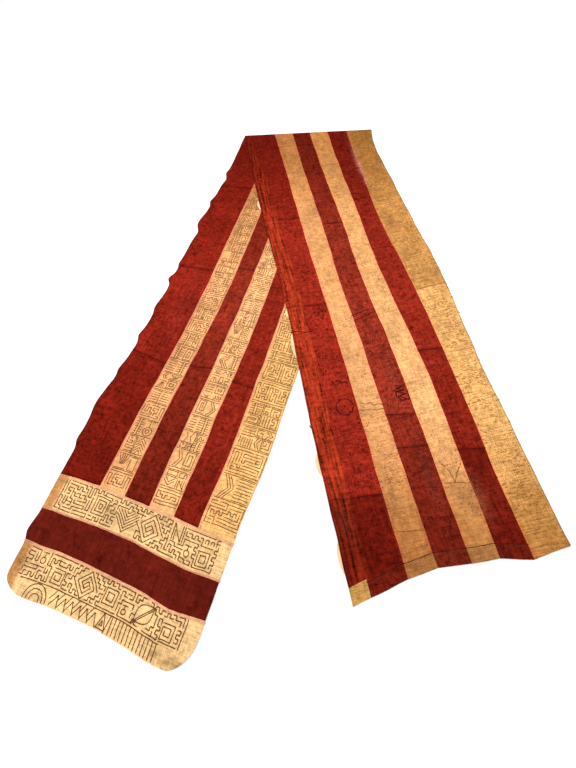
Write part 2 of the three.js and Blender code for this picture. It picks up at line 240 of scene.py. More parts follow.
# Handwork: how far a point of the plan strays sideways, and how far the cloth crumples up
def strayAt(x, y):
    calm = smooth(-y, *uneven["calmAtCrease"])
    long = uneven["wobbleLong"]
    sideways = uneven["wobble"] * calm * noise.noise(Vector((x / long, y / long, 3.1)))
    lengthways = uneven["wobble"] * calm * noise.noise(Vector((x / long, y / long, 8.7)))
    fine = noise.noise(Vector((x / uneven["crumpleLong"], y / uneven["crumpleLong"], 1.3)))
    fine += 0.5 * noise.noise(Vector((x / uneven["crumpleLong"] * 2.6, y / uneven["crumpleLong"] * 1.7, 5.9)))
    return sideways, lengthways, uneven["crumple"] * calm * clamp(0.5 + 0.6 * fine)


# The two faces of the cloth at a station, v stripe widths across, with its place along X already inset
def clothPoint(station, v, x, hemmedEnd=False):
    radius = lie["foldRadius"]
    skin = lie["skin"]
    if abs(station) < halfTurn:
        angle = station / halfTurn * math.pi / 2
        faces = []
        for r in (radius - skin, radius - lie["sheet"] + skin):
            faces.append(Vector((x, -radius + r * math.cos(angle), radius + r * math.sin(angle))))
        return faces[0], faces[1]
    y, under = stationY(station), undersideAt(station, x)
    if station < 0:
        out, up = edgeFoldAt(-station)
        nearEdge = 1 - smooth(x - lineX(station, 0), 0, lie["edgeFoldReach"])
        under += up * nearEdge
        x -= out * nearEdge
    stripe = min(math.floor(v), 5)
    stripeEdge = abs(v - round(v)) * (lineX(station, stripe + 1) - lineX(station, stripe))
    dip = 0
    if 0.5 < v < 5.5 and abs(station) > lie["creaseReach"]:
        dip = uneven["seamDip"] * max(1 - stripeEdge / uneven["seamReach"], 0) ** 1.5
    sideways, lengthways, crumple = strayAt(x, y)
    top = under + lie["sheet"] - skin - dip + topRaise(station, v, x, hemmedEnd)
    low = Vector((x + sideways, y + lengthways, under + skin + crumple))
    high = Vector((x + sideways, y + lengthways, top + crumple))
    return (low, high) if station < 0 else (high, low)


# The plan's zero is the crease's left end: a corner of the golden stripe gives its X, the frame's box its Y
farCorner = {"node": "gold_f_panel_2", "station": 1143 - 0.25, "v": 6}
farX = lineX(farCorner["station"], farCorner["v"]) * mm
planShift = Vector((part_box(farCorner["node"])[1].x - farX, cadBox[1].y, 0))


def inFrame(point):
    return point * mm + planShift


# Dyes in sRGB. A stripe has one, and each of its panels a share of it
def dye(*tone):
    return tuple(c / 255 / 12.92 if c < 10.3 else ((c / 255 + 0.055) / 1.055) ** 2.4 for c in tone)


# How the cloth's tone goes along it: (station, share of the dye). It is darker at the crease and at the ends:
# painted shade of the uneven light, with some of the dye's own change. The light stripes stay light under their
# embroidery. A darker tone is also a warmer one
redDyeAndShade = {"along": [(-2250, 0.76), (-1560, 0.9), (-1060, 0.95), (-470, 0.82), (0, 0.72), (350, 0.78),
                     (740, 0.96), (1300, 1.03), (1800, 1), (2050, 0.95), (2300, 0.8)], "warm": (1, 1.6, 1.9)}
lightDyeAndShade = {"along": [(-1100, 1.04), (-600, 0.94), (-400, 0.8), (0, 0.78), (300, 0.82), (700, 0.96), (1250, 1),
                       (1760, 1.02), (2000, 0.94), (2250, 0.76)], "warm": (1, 1.4, 2)}
stripes = [
    {
        "name": "red_a", "slot": "red_raffia",
        "seams": [(-1520, -1590), (-1034, -1067), (-450, -475), (738, 722), (1295, 1266), (2122, 2090)],
        "dye": (160, 43, 28), "fade": redDyeAndShade, "shares": [0.94, 1.01, 0.98, 0.98, 1.03, 1.03, 0.86],
    },
    {
        "name": "light_b", "slot": "light_raffia", "columns": 12,
        "seams": [(128, 118), (1778, 1768), (2212, 2200)],
        "dye": (245, 176, 114), "fade": lightDyeAndShade, "shares": [1, 1, 0.98, 0.98],
    },
    {
        "name": "red_c", "slot": "red_raffia", "columns": 12,
        "seams": [(-1598, -1611), (-1050, -1066), (118, 116), (768, 757), (1358, 1304), (1793, 1783),
                  (1925, 1905)],
        "dye": (155, 50, 33), "fade": redDyeAndShade, "shares": [0.98, 1.03, 0.97, 1, 1.01, 1.03, 0.94, 0.9],
    },
    {
        "name": "light_d", "slot": "light_raffia", "columns": 12,
        "seams": [(-420, -420), (2040, 2033)],
        "dye": (250, 184, 118), "fade": lightDyeAndShade, "shares": [1.02, 1.02, 1],
    },
    {
        "name": "red_e", "slot": "red_raffia", "columns": 12,
        "seams": [(-1667, -1701), (-1173, -1178), (-420, -420), (1505, 1490), (1918, 1907)],
        "dye": (155, 43, 28), "fade": redDyeAndShade, "shares": [1.1, 1.03, 1.05, 1.01, 0.95, 0.83],
    },
    {
        "name": "gold_f", "slot": "gold_raffia", "columns": 17,
        "seams": [(-420, -420), (1190, 1143)],
        "dye": (240, 178, 106), "fade": lightDyeAndShade, "shares": [1.03, 0.94, 1.04],
    },
]
tints = {  # how a part of the cloth departs from its panel's dye; the edge tints and the red seam tint are painted shadow lines
    "sideHem": (1.12, 1.42, 1.06), "redHem": (1.02, 1.4, 1.25), "lightHem": (0.84, 0.89, 0.95),
    "margin": (1.05, 0.86, 0.96), "sewnMargin": (0.95, 0.78, 0.88), "paleMargin": (1.05, 1.05, 0.95),
    "outerEdge": (0.3, 0.32, 0.42), "goldEdge": (0.5, 0.55, 0.66), "redSeam": (0.66, 0.6, 0.62),
    "hemEdge": (0.55, 0.45, 0.45),
    "light": 0.76, "drift": 0.17, "driftLong": 150, "patchy": 0.24, "patchyLong": 34, "stainLean": 0.25,
}
stainsAndFoldShade = [  # stains, and the painted shadow of a fold: arm, x, y, reach across, reach along, dye, strength
    (1, 600, -2185, 30, 80, (78, 40, 30), 0.3),
    (1, 780, -2115, 26, 60, (140, 100, 54), 0.3),
    (1, 800, -1600, 12, 110, (110, 60, 48), 0.3),
    (1, 905, -2010, 18, 120, (96, 52, 44), 0.3),
    (1, 706, -330, 14, 130, (176, 112, 98), 0.7),
    (1, 740, -60, 60, 90, (120, 82, 40), 0.55),
    (1, 860, -780, 36, 70, (172, 108, 72), 0.45),
    (1, 1040, -2075, 40, 70, (150, 98, 64), 0.5),
    (1, 1255, -2070, 60, 50, (150, 98, 40), 0.4),
    (-1, -150, -1290, 50, 220, (116, 34, 30), 0.4),
    # the next three are the painted shadow of a fold at the corner of the lower end
    (-1, -8, -2618, 16, 9, (110, 84, 34), 0.85),
    (-1, 34, -2635, 26, 8, (150, 116, 50), 0.75),
    (-1, 80, -2643, 24, 7, (96, 76, 34), 0.85),
    (-1, 330, -640, 30, 220, (112, 36, 18), 0.4),
]


# A panel's tone at a station: its stripe's dye, the panel's share of it and the painted shade along the cloth
def toneAt(kind, panel, station):
    share = kind["shares"][panel] * between(kind["fade"]["along"], station)
    return dye(*(c * share ** power for c, power in zip(kind["dye"], kind["fade"]["warm"])))


def between(points, place):
    for (fromAt, low), (toAt, high) in zip(points, points[1:]):
        if place <= toAt:
            return lerp(low, high, clamp((place - fromAt) / (toAt - fromAt)))
    return points[-1][1]


def paint(tone, station, point, tint=(1, 1, 1)):
    colour = [c * t * tints["light"] for c, t in zip(tone, tint)]
    # the stains and the painted fold shadow blend in as soft blots that lean with the arm
    for arm, x, y, across, along, markDye, strength in stainsAndFoldShade:
        if arm * station > 0:
            sideways = point.x - x - (y - point.y) * tints["stainLean"] * arm
            away = math.hypot(sideways / across, (point.y - y) / along)
            share = strength * math.exp(-away * away)
            colour = [lerp(c, s, share) for c, s in zip(colour, dye(*markDye))]
    drift = tints["drift"] * noise.noise(Vector((point.x, point.y, 40)) / tints["driftLong"])
    drift += tints["patchy"] * noise.noise(Vector((point.x, point.y, 90)) / tints["patchyLong"])
    return [c * (1 + drift) for c in colour] + [1]


# A closed sheet from a grid of points, rows along the cloth and columns across it
def sheetMesh(name, grid, cutCells=()):
    rows, columns = len(grid), len(grid[0])
    cells = [(r, c) for r in range(rows - 1) for c in range(columns - 1) if (r, c) not in cutCells]
    shown = set(cells)
    corners = sorted({(r + i, c + j) for r, c in cells for i in (0, 1) for j in (0, 1)})
    number = {corner: i for i, corner in enumerate(corners)}
    half = len(corners)
    places = [inFrame(grid[r][c]["faces"][side]) for side in (0, 1) for r, c in corners]
    faces = []
    for r, c in cells:
        loop = [number[k] for k in ((r, c), (r + 1, c), (r + 1, c + 1), (r, c + 1))]
        faces.append(loop)
        faces.append([i + half for i in reversed(loop)])
        beside = ((r, c - 1), (r + 1, c), (r, c + 1), (r - 1, c))
        for i, cell in enumerate(beside):
            if cell not in shown:
                a, b = loop[i], loop[(i + 1) % 4]
                faces.append([b, a, a + half, b + half])
    mesh = bpy.data.meshes.new(name)
    mesh.from_pydata(places, [], faces)
    mesh.update()
    uv = mesh.uv_layers.new(name="clothPlace")
    for loop in mesh.loops:
        r, c = corners[loop.vertex_index % half]
        uv.data[loop.index].uv = grid[r][c]["uv"]
    for label, kind, width in (("dye", "FLOAT_COLOR", 4), ("streak", "FLOAT", 1)):
        layer = mesh.attributes.new(label, kind, "POINT")
        values = []
        for r, c in corners:
            values.extend(grid[r][c][label] if width > 1 else [grid[r][c][label]])
        layer.data.foreach_set("color" if width > 1 else "value", values * 2)
    mesh.shade_smooth()
    mesh.set_sharp_from_angle(angle=math.radians(50))
    return mesh


def linked(name, data):
    made = bpy.data.objects.new(name, data)
    bpy.context.scene.collection.objects.link(made)
    return made


def newPiece(name, mesh, slot, material=None):
    piece = linked(name, mesh)
    if material:
        mesh.materials.clear()
        mesh.materials.append(material)
    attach(piece, "root")
    return piece


# A node group from its inputs, each a default value or a kind of socket, and the kinds of its outputs
def newTree(name, kind, inputs, outputs):
    tree = bpy.data.node_groups.new(name, kind)
    for label, value in inputs.items():
        typed = {float: "Float", int: "Int"}.get(type(value), value)
        socket = tree.interface.new_socket(name=label, in_out="INPUT", socket_type="NodeSocket" + typed)
        if value != typed:
            socket.default_value = value
    for label, typed in outputs.items():
        tree.interface.new_socket(name=label, in_out="OUTPUT", socket_type="NodeSocket" + typed)
    return tree, tree.nodes.new("NodeGroupInput").outputs, tree.nodes.new("NodeGroupOutput").inputs


class Wiring:
    def __init__(self, tree):
        self.tree = tree

    def fill(self, target, inputs):
        for key, value in inputs.items():
            if isinstance(value, bpy.types.NodeSocket):
                self.tree.links.new(value, target.inputs[key])
            else:
                target.inputs[key].default_value = value
        return target

    def node(self, kind, inputs=(), **settings):
        made = self.tree.nodes.new(kind)
        for key, value in settings.items():
            setattr(made, key, value)
        return self.fill(made, dict(inputs))

    def maths(self, operation, a, b=0.0, c=0.0):
        return self.node("ShaderNodeMath", {0: a, 1: b, 2: c}, operation=operation).outputs[0]

    def scaled(self, vector, factor):
        return self.node("ShaderNodeVectorMath", {0: vector, "Scale": factor}, operation="SCALE").outputs[0]

    def noise(self, vector, scale, detail, rough=0.55):
        inputs = {"Vector": vector, "Scale": scale, "Detail": detail, "Roughness": rough}
        return self.node("ShaderNodeTexNoise", inputs).outputs["Fac"]


# Raffia cloth: streaks along and across the threads, mottled dye, blots and the relief of the weave
def raffiaGroup():
    tree, given, result = newTree("raffiaCloth", "ShaderNodeTree", {
        "Place": "Vector", "Dye": "Color", "Streak": 0.0, "Warp": 0.1, "Weft": 0.1, "Mottle": 0.1,
        "Grain": 0.1, "Blots": 0.3, "Blot Tone": "Color", "Blot Size": 30.0, "Thread": 0.0011,
    }, {"Color": "Color", "Roughness": "Float", "Height": "Float"})
    wire = Wiring(tree)
    place = given["Place"]
    split = wire.node("ShaderNodeSeparateXYZ", {0: place}).outputs
    x, y = split[0], split[1]

    def stretched(across, along, detail):
        parts = {0: wire.maths("MULTIPLY", x, across), 1: wire.maths("MULTIPLY", y, along)}
        vector = wire.node("ShaderNodeCombineXYZ", parts).outputs[0]
        return wire.maths("SUBTRACT", wire.noise(vector, 1.0, detail), 0.5)

    def ridge(axis):
        turns = wire.maths("DIVIDE", wire.maths("MULTIPLY", axis, math.pi), given["Thread"])
        return wire.maths("SINE", turns)

    warp, weft, wood = stretched(230, 7, 3), stretched(9, 260, 3), stretched(95, 6, 4)
    mottle = wire.maths("SUBTRACT", wire.noise(place, 62.0, 5), 0.5)
    grain = wire.maths("SUBTRACT", wire.noise(place, 210.0, 2), 0.5)
    total = 1.0
    for label, part in {"Warp": warp, "Weft": weft, "Mottle": mottle, "Grain": grain, "Streak": wood}.items():
        total = wire.maths("MULTIPLY_ADD", part, given[label], total)
    spots = wire.noise(place, given["Blot Size"], 5, 0.6)
    spots = wire.node("ShaderNodeMapRange", {"Value": spots, "From Min": 0.55, "From Max": 0.68}).outputs[0]
    share = wire.maths("MULTIPLY", spots, given["Blots"])
    tones = {"Factor": share, 6: wire.scaled(given["Dye"], total), 7: given["Blot Tone"]}
    mixed = wire.node("ShaderNodeMix", tones, data_type="RGBA", blend_type="MULTIPLY")
    weave = wire.maths("MULTIPLY_ADD", wire.maths("MULTIPLY", ridge(x), ridge(y)), 0.25, 0.5)
    uneven = wire.maths("ADD", wire.maths("MULTIPLY", warp, 0.7), wire.maths("MULTIPLY", weft, 0.7))
    tree.links.new(mixed.outputs[2], result["Color"])
    tree.links.new(wire.maths("MULTIPLY_ADD", grain, 0.3, 0.86), result["Roughness"])
    tree.links.new(wire.maths("ADD", weave, uneven), result["Height"])
    return tree


raffiaCloth = raffiaGroup()


def newMaterial(name):
    material = bpy.data.materials.new(name)
    material.use_nodes = True
    return material, Wiring(material.node_tree), material.node_tree.nodes["Principled BSDF"]


def raffiaMaterial(name, look):
    material, wire, shader = newMaterial(name)
    cloth = wire.node("ShaderNodeGroup", node_tree=raffiaCloth)
    wire.fill(cloth, {
        "Place": wire.node("ShaderNodeUVMap", uv_map="clothPlace").outputs[0],
        "Dye": wire.node("ShaderNodeAttribute", attribute_name="dye").outputs["Color"],
        "Streak": wire.node("ShaderNodeAttribute", attribute_name="streak").outputs["Fac"], **look,
    })
    read = cloth.outputs
    bump = wire.node("ShaderNodeBump", {"Strength": 0.35, "Distance": 0.0005, "Height": read["Height"]})
    wire.fill(shader, {"Base Color": read["Color"], "Roughness": read["Roughness"], "Normal": bump.outputs[0],
                       "Specular IOR Level": 0.0})
    return material


lookInputs = ("Warp", "Weft", "Mottle", "Grain", "Blots", "Blot Tone", "Blot Size")
looks = {  # slot: the material's name, then the group's inputs in that order
    "red_raffia": ("redRaffia", 1.2, 1.3, 2.1, 1.1, 0.85, (0.5, 0.42, 0.4, 1), 30.0),
    "light_raffia": ("lightRaffia", 0.6, 1.1, 1.2, 0.9, 0.7, (0.8, 0.64, 0.5, 1), 44.0),
    "gold_raffia": ("goldRaffia", 0.6, 1.7, 1.4, 1.1, 0.9, (0.72, 0.6, 0.4, 1), 60.0),
    "maroon_raffia": ("maroonRaffia", 0.9, 0.6, 1.3, 0.8, 0.7, (0.5, 0.42, 0.4, 1), 24.0),
    "cream_raffia": ("creamRaffia", 0.2, 0.3, 0.2, 0.2, 0.2, (0.8, 0.7, 0.6, 1)),
}
clothMaterials = {}
for slot, (name, *values) in looks.items():
    clothMaterials[slot] = raffiaMaterial(name, dict(zip(lookInputs, values)))


def threadMaterial(name, tone, vary=0.5):
    material, wire, shader = newMaterial(name)
    place = wire.node("ShaderNodeTexCoord").outputs["Object"]
    shade = wire.maths("MULTIPLY_ADD", wire.noise(place, 60.0, 3), vary, 1 - vary / 2)
    fibres = wire.noise(place, 1400.0, 2)
    bump = wire.node("ShaderNodeBump", {"Strength": 0.4, "Distance": 0.0003, "Height": fibres})
    wire.fill(shader, {"Base Color": wire.scaled(dye(*tone), shade), "Normal": bump.outputs[0],
                       "Roughness": 0.8, "Specular IOR Level": 0.1})
    return material


threads = {
    "dark": threadMaterial("darkThread", (104, 66, 36)),
    "brown": threadMaterial("brownThread", (144, 84, 44), 0.6),
    "goldBrown": threadMaterial("goldBrownThread", (158, 104, 42), 0.7),
    "deepRed": threadMaterial("deepRedThread", (76, 8, 10)),
    "black": threadMaterial("blackBrownThread", (52, 24, 20)),
    "pink": threadMaterial("pinkThread", (234, 162, 130), 0.3),
}
print("materials ready")

# Cloth panels: the grid in millimetres, with the columns of the side hem and of the rest of that stripe
grain = {"rowStep": 12, "seamGap": 0.1, "marginWide": 8, "marginBlur": 4, "hemColumns": 7, "restColumns": 13,
         "uvStripe": 200, "hemStreak": 3.6, "streak": 0.3, "bandStreak": 0.2}
creaseMarks = [-100, -60, -30, -15] + [halfTurn * k / 4 for k in range(-4, 5)] + [15, 30, 60, 100]
armLean = {"lower": math.atan(0.247), "upper": math.atan(0.262)}
dressed = {}


def clothUv(station, stripe, x):
    lean = armLean["lower"] if station < 0 else armLean["upper"]
    across = x - lineX(station, stripe)
    side = 1 if station > 0 else -1
    along = side * abs(station) / math.cos(lean) + across * math.sin(lean)
    return ((stripe * grain["uvStripe"] + across * math.cos(lean)) * mm, along * mm)


def clothCell(faces, station, stripe, x, share, tone, streak, tint=(1, 1, 1)):
    return {"faces": faces, "uv": clothUv(station, stripe, x), "share": share, "station": station,
            "dye": paint(tone, station, faces[0], tint), "streak": streak}


def rowsThrough(marks):
    rows = []
    for a, b in zip(marks, marks[1:]):
        count = max(1, math.ceil(max(b[0] - a[0], b[1] - a[1]) / grain["rowStep"]))
        rows += [(lerp(a[0], b[0], k / count), lerp(a[1], b[1], k / count)) for k in range(count)]
    return rows + [marks[-1]]


def sharesAcross(stripe, station):
    width = lineX(station, stripe + 1) - lineX(station, stripe)
    kind = stripes[stripe]
    if stripe == 0:
        hem = sideHemWidth(max(station, 0)) / width
        inner = hem - lie["sideHemStep"] / width
        inHem, rest = grain["hemColumns"], grain["restColumns"]
        hemShares = [inner * k / inHem for k in range(inHem + 1)]
        return hemShares + [lerp(hem, 1, k / rest) for k in range(rest + 1)]
    count = kind["columns"]
    if kind["slot"] == "red_raffia":
        return [k / count for k in range(count + 1)]
    a = grain["marginWide"] / width
    b = a + grain["marginBlur"] / width
    middle = [lerp(b, 1 - b, k / (count - 2)) for k in range(count - 1)]
    return [0, a] + middle + [1 - a, 1]


def panelGrid(stripe, panel, start, end, hemmedEnd):
    kind = stripes[stripe]
    gap = grain["seamGap"] / 2
    first, last = (start[0] + gap, start[1] + gap), (end[0] - gap, end[1] - gap)
    marks = [first]
    if first[0] < 0 < last[0]:
        marks += [(m, m) for m in creaseMarks]
    if hemmedEnd:
        for back in (lie["patchDeep"] + 0.5, lie["endHem"] + lie["endHemStep"], lie["endHem"]):
            marks.append((end[0] - back, end[1] - back))
    marks.append(last)
    grid = []
    for row in rowsThrough(marks):
        middle = (row[0] + row[1]) / 2
        line = []
        for share in sharesAcross(stripe, middle):
            station = lerp(row[0], row[1], share)
            left = lineX(station, stripe) + (gap if stripe > 0 else 0)
            right = lineX(station, stripe + 1) - (gap if stripe < 5 else 0)
            x = lerp(left, right, share)
            faces = clothPoint(station, stripe + share, x, hemmedEnd)
            across = x - left
            inSideHem = stripe == 0 and station > lie["sideHemStarts"] and across < sideHemWidth(station) - 1
            endAway = acrossLine("upperEnd", stripe + share) - station
            isRed = kind["slot"] == "red_raffia"
            tint = (1, 1, 1)
            if hemmedEnd and endAway < lie["endHem"] + 1:
                tint = tints["redHem" if isRed else "lightHem"]
            elif inSideHem:
                # the side hem's outermost column is painted with a dark shadow line, where the upper arm's edge
                # lies over the lower arm
                tint = tints["sideHem"] if share else tints["hemEdge"]
            # the lower arm's outer edge column is painted with a dark shadow line
            elif stripe == 0 and station < 0 and share == 0:
                tint = tints["outerEdge"]
            # a red panel's first and last rows are painted darker, as shade along its seams
            elif isRed and row in (first, last):
                tint = tints["redSeam"]
            elif not isRed and min(across, right - x) < grain["marginWide"] + 1:
                tint = tints["sewnMargin" if station < 0 else "margin"]
                # at the gold stripe's outer edge on the back a grey shadow line is painted; the rest of its
                # outer margin is pale
                if stripe == 5 and across > right - x:
                    tint = tints["goldEdge" if share == 1 and station > 40 else "paleMargin"]
            elif not isRed and station < 0:
                tint = (1, lerp(0.95, 1.06, share), lerp(0.96, 1.06, share))
            tone = toneAt(kind, panel, station)
            streak = grain["hemStreak" if inSideHem else "streak"]
            line.append(clothCell(faces, station, stripe, x, share, tone, streak, tint))
        grid.append(line)
    return grid


def flatSize(grid):
    places = [cell["uv"] for row in grid for cell in row]
    width, length = (max(p[axis] for p in places) - min(p[axis] for p in places) for axis in (0, 1))
    area = 0
    for a, b in zip(grid, grid[1:]):
        for column in range(len(a) - 1):
            p, q, r, s = (cell["faces"][0] for cell in (a[column], a[column + 1], b[column + 1], b[column]))
            area += (q - s).cross(p - r).length / 2 * mm * mm
    width, length = max(round(width, 3), 0.01), round(length, 3)
    return (width, length), round(min(area, width * length), 6)


def dressNode(node, grid, slot, held, cutCells=()):
    mesh = sheetMesh(node + "_cloth", grid, cutCells)
    piece = newPiece(node + "_cloth", mesh, slot, clothMaterials[slot])
    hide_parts(node)
    size, area = flatSize(grid)
    dressed[node] = {"piece": piece, "grid": grid, "flat": size, "area": area, "held": held, "with": []}


# The cells of the first stripe's last panel that the corner patch takes the place of
def patchCells(grid):
    cells = set()
    for r, row in enumerate(grid):
        for c, cell in enumerate(row):
            inward = acrossLine("upperEnd", cell["share"]) - cell["station"]
            if cell["share"] < lie["patchShare"] - 0.01 and inward < lie["patchDeep"] + 1:
                cells.add((r, c))
    return cells


panelLines = []
for stripe, kind in enumerate(stripes):
    lines = [(-crossLines["stripesEnd"][stripe], -crossLines["stripesEnd"][stripe + 1])]
    lines += kind["seams"] + [(crossLines["upperEnd"][stripe], crossLines["upperEnd"][stripe + 1])]
    panelLines.append(lines)
    for panel, (start, end) in enumerate(zip(lines, lines[1:])):
        isLast = panel == len(lines) - 2
        grid = panelGrid(stripe, panel, start, end, isLast and stripe < 5)
        cutCells = patchCells(grid) if isLast and stripe == 0 else ()
        held = "folded" if start[0] < 0 < end[0] else "laid"
        dressNode(f"{kind['name']}_panel_{panel + 1}", grid, kind["slot"], held, cutCells)
print("stripes ready:", len(dressed), "panels")


# Bands across the front end, the corner patch and the slips along the outer edge
def cornerDraw(corner, inward):
    across, along = corner
    rest = clamp(1 - inward / across)
    return along * (1 - math.sqrt(1 - rest * rest))


def roundedEnd(v):
    station = acrossLine("lowerEnd", v)
    x = lineX(-station, v)
    fromA = cornerDraw(lie["cornerA"], x - lineX(-station, 0))
    fromF = cornerDraw(lie["cornerF"], lineX(-station, 6) - x)
    return station - max(fromA, fromF)


plainDye, sewnDye, darkDye = (208, 148, 90), (256, 209, 146), (108, 30, 20)
sewnFrom = {"start": 0.2, "full": 0.27}  # the light bands are embroidered from here, and lighter
bands = [
    {"node": "light_band", "slot": "light_raffia", "from": "stripesEnd", "to": "lightBandEnd", "rows": 12,
     "dyes": (plainDye, sewnDye)},
    {"node": "dark_band", "slot": "maroon_raffia", "from": "lightBandEnd", "to": "darkBandEnd", "rows": 12,
     "dyes": (darkDye, darkDye)},
    {"node": "end_band", "slot": "light_raffia", "from": "darkBandEnd", "to": None, "rows": 26,
     "dyes": (plainDye, sewnDye)},
]


def bandTone(band, v):
    share = clamp((v - sewnFrom["start"]) / (sewnFrom["full"] - sewnFrom["start"]))
    return [lerp(a, b, share) for a, b in zip(*(dye(*tone) for tone in band["dyes"]))]


bandColumns = sorted({k / 11 for k in range(67)} | {0.015, 0.03, 0.05, 0.07, 5.93, 5.95, 5.97, 5.985})


def bandEnd(band, v):
    return acrossLine(band["to"], v) if band["to"] else roundedEnd(v)


def bandGrid(band):
    gap = grain["seamGap"] / 2
    grid = []
    for row in range(band["rows"] + 1):
        along = row / band["rows"]
        line = []
        for v in bandColumns:
            station = -lerp(bandEnd(band, v) - gap, acrossLine(band["from"], v) + gap, along)
            x = lineX(station, v)
            faces = clothPoint(station, v, x)
            line.append(clothCell(faces, station, 0, x, v, bandTone(band, v), grain["bandStreak"]))
        grid.append(line)
    return grid


for band in bands:
    dressNode(band["node"], bandGrid(band), band["slot"], "laid")

patch = {"tone": dye(200, 150, 80), "rowStep": 10.2, "columns": 7, "gap": 0.003, "streak": 0.1}
patchGrid = []
for inward in [lie["patchDeep"] - patch["rowStep"] * k for k in range(5)] + [grain["seamGap"]]:
    line = []
    for column in range(patch["columns"] + 1):
        share = (lie["patchShare"] - patch["gap"]) * column / patch["columns"]
        station = acrossLine("upperEnd", share) - inward
        x = lineX(station, share)
        faces = clothPoint(station, share, x, True)
        line.append(clothCell(faces, station, 0, x, share, patch["tone"], patch["streak"]))
    patchGrid.append(line)
dressNode("corner_patch", patchGrid, "gold_raffia", "laid")

slipLook = {-1: dye(252, 238, 170), 1: dye(257, 224, 176), "streak": 0.05,
            "high": 1.2, "least": 3, "clear": 0.5}
for number, (arm, start, end, wide) in enumerate(slips):
    alongs = [k / 16 for k in range(17)]
    slipGrid = []
    for along in (alongs if arm > 0 else alongs[::-1]):
        station = arm * lerp(start, end, along)
        bulge = math.sin(math.pi * clamp(along, 0.001, 0.999)) ** 0.7
        reach = slipLook["least"] + (wide - slipLook["least"]) * bulge
        seam = lineX(station, 0)
        faces = clothPoint(station, 0, seam)
        low = faces[0] if arm < 0 else faces[1]
        line = []
        for share in (1, 0.66, 0.33, 0):
            foot = Vector((low.x - slipLook["clear"] - reach * share, low.y, low.z))
            top = foot + Vector((0, 0, slipLook["high"]))
            sides = (foot, top) if arm < 0 else (top, foot)
            line.append(clothCell(sides, station, 0, foot.x, share, slipLook[arm], slipLook["streak"]))
        slipGrid.append(line)
    dressNode(f"edge_slip_{number + 1}", slipGrid, "cream_raffia", "laid")
print("all cloth ready:", len(dressed), "pieces")


# Thread work: rows of stitches along lines, and specks of thread scattered over a face
def stitchTree():
    tree, given, result = newTree("stitchRun", "GeometryNodeTree", {
        "Geometry": "Geometry", "Step": 0.004, "Long": 0.005, "Wide": 0.003, "High": 0.001, "Slant": 0.3,
        "Missing": 0.0, "Seed": 1, "Thread": "Material",
    }, {"Geometry": "Geometry"})
    wire = Wiring(tree)
    curve = wire.node("GeometryNodeMeshToCurve", {"Mesh": given["Geometry"]})
    spaced = {"Curve": curve.outputs[0], "Length": given["Step"]}
    points = wire.node("GeometryNodeCurveToPoints", spaced, mode="LENGTH").outputs
    odds = {6: given["Missing"], 8: given["Seed"]}
    left = wire.node("FunctionNodeRandomValue", odds, data_type="BOOLEAN").outputs[3]
    kept = wire.node("GeometryNodeDeleteGeometry", {0: points["Points"], 1: left}, domain="POINT").outputs[0]
    aim = {"Vector": points["Tangent"]}
    along = wire.node("FunctionNodeAlignRotationToVector", aim, axis="X", pivot_axis="Z").outputs[0]
    tree.links.new(threadBeads(wire, given, kept, along, given["Slant"]), result["Geometry"])
    return tree


def speckTree():
    tree, given, result = newTree("threadSpecks", "GeometryNodeTree", {
        "Geometry": "Geometry", "Density": 2000.0, "Clump Size": 12.0, "Clump Edge": 0.5, "Long": 0.009,
        "Wide": 0.0032, "High": 0.0008, "Turn": 0.0, "Spread": 0.5, "Seed": 1, "Thread": "Material",
    }, {"Geometry": "Geometry"})
    wire = Wiring(tree)
    clumps = wire.node("ShaderNodeTexNoise", {"Scale": given["Clump Size"], "Detail": 2.0}).outputs["Fac"]
    clumpEnd = wire.maths("ADD", given["Clump Edge"], 0.12)
    edges = {"Value": clumps, "From Min": given["Clump Edge"], "From Max": clumpEnd}
    density = wire.maths("MULTIPLY", wire.node("ShaderNodeMapRange", edges).outputs[0], given["Density"])
    scattered = {"Mesh": given["Geometry"], "Density": density, "Seed": given["Seed"]}
    points = wire.node("GeometryNodeDistributePointsOnFaces", scattered).outputs
    turns = {2: wire.maths("MULTIPLY", given["Spread"], -1.0), 3: given["Spread"], 8: given["Seed"]}
    turn = wire.node("FunctionNodeRandomValue", turns, data_type="FLOAT")
    angle = wire.maths("ADD", turn.outputs[1], given["Turn"])
    upright = wire.node("FunctionNodeAlignRotationToVector", {"Vector": points["Normal"]}, axis="Z")
    tree.links.new(threadBeads(wire, given, points["Points"], upright.outputs[0], angle), result["Geometry"])
    return tree


# One bead of thread on each point, turned by an angle and a little uneven in size
def threadBeads(wire, given, points, rotation, angle):
    sizes = [wire.maths("MULTIPLY", given[label], 0.5) for label in ("Long", "Wide", "High")]
    size = wire.node("ShaderNodeCombineXYZ", dict(enumerate(sizes)))
    vary = wire.node("FunctionNodeRandomValue", {2: 0.8, 3: 1.2, 8: given["Seed"]}, data_type="FLOAT")
    lean = wire.node("ShaderNodeCombineXYZ", {2: angle})
    euler = wire.node("FunctionNodeEulerToRotation", {0: lean.outputs[0]})
    both = {0: rotation, 1: euler.outputs[0]}
    turned = wire.node("FunctionNodeRotateRotation", both, rotation_space="LOCAL")
    bead = wire.node("GeometryNodeMeshUVSphere", {"Segments": 4, "Rings": 2, "Radius": 1.0})
    rounded = wire.node("GeometryNodeSetShadeSmooth", {0: bead.outputs[0]})
    placed = wire.node("GeometryNodeInstanceOnPoints", {
        "Points": points, "Instance": rounded.outputs[0], "Rotation": turned.outputs[0],
        "Scale": wire.scaled(size.outputs[0], vary.outputs[1]),
    })
    real = wire.node("GeometryNodeRealizeInstances", {0: placed.outputs[0]})
    dyed = wire.node("GeometryNodeSetMaterial", {"Geometry": real.outputs[0], "Material": given["Thread"]})
    return dyed.outputs[0]


stitchRun = stitchTree()
threadSpecks = speckTree()


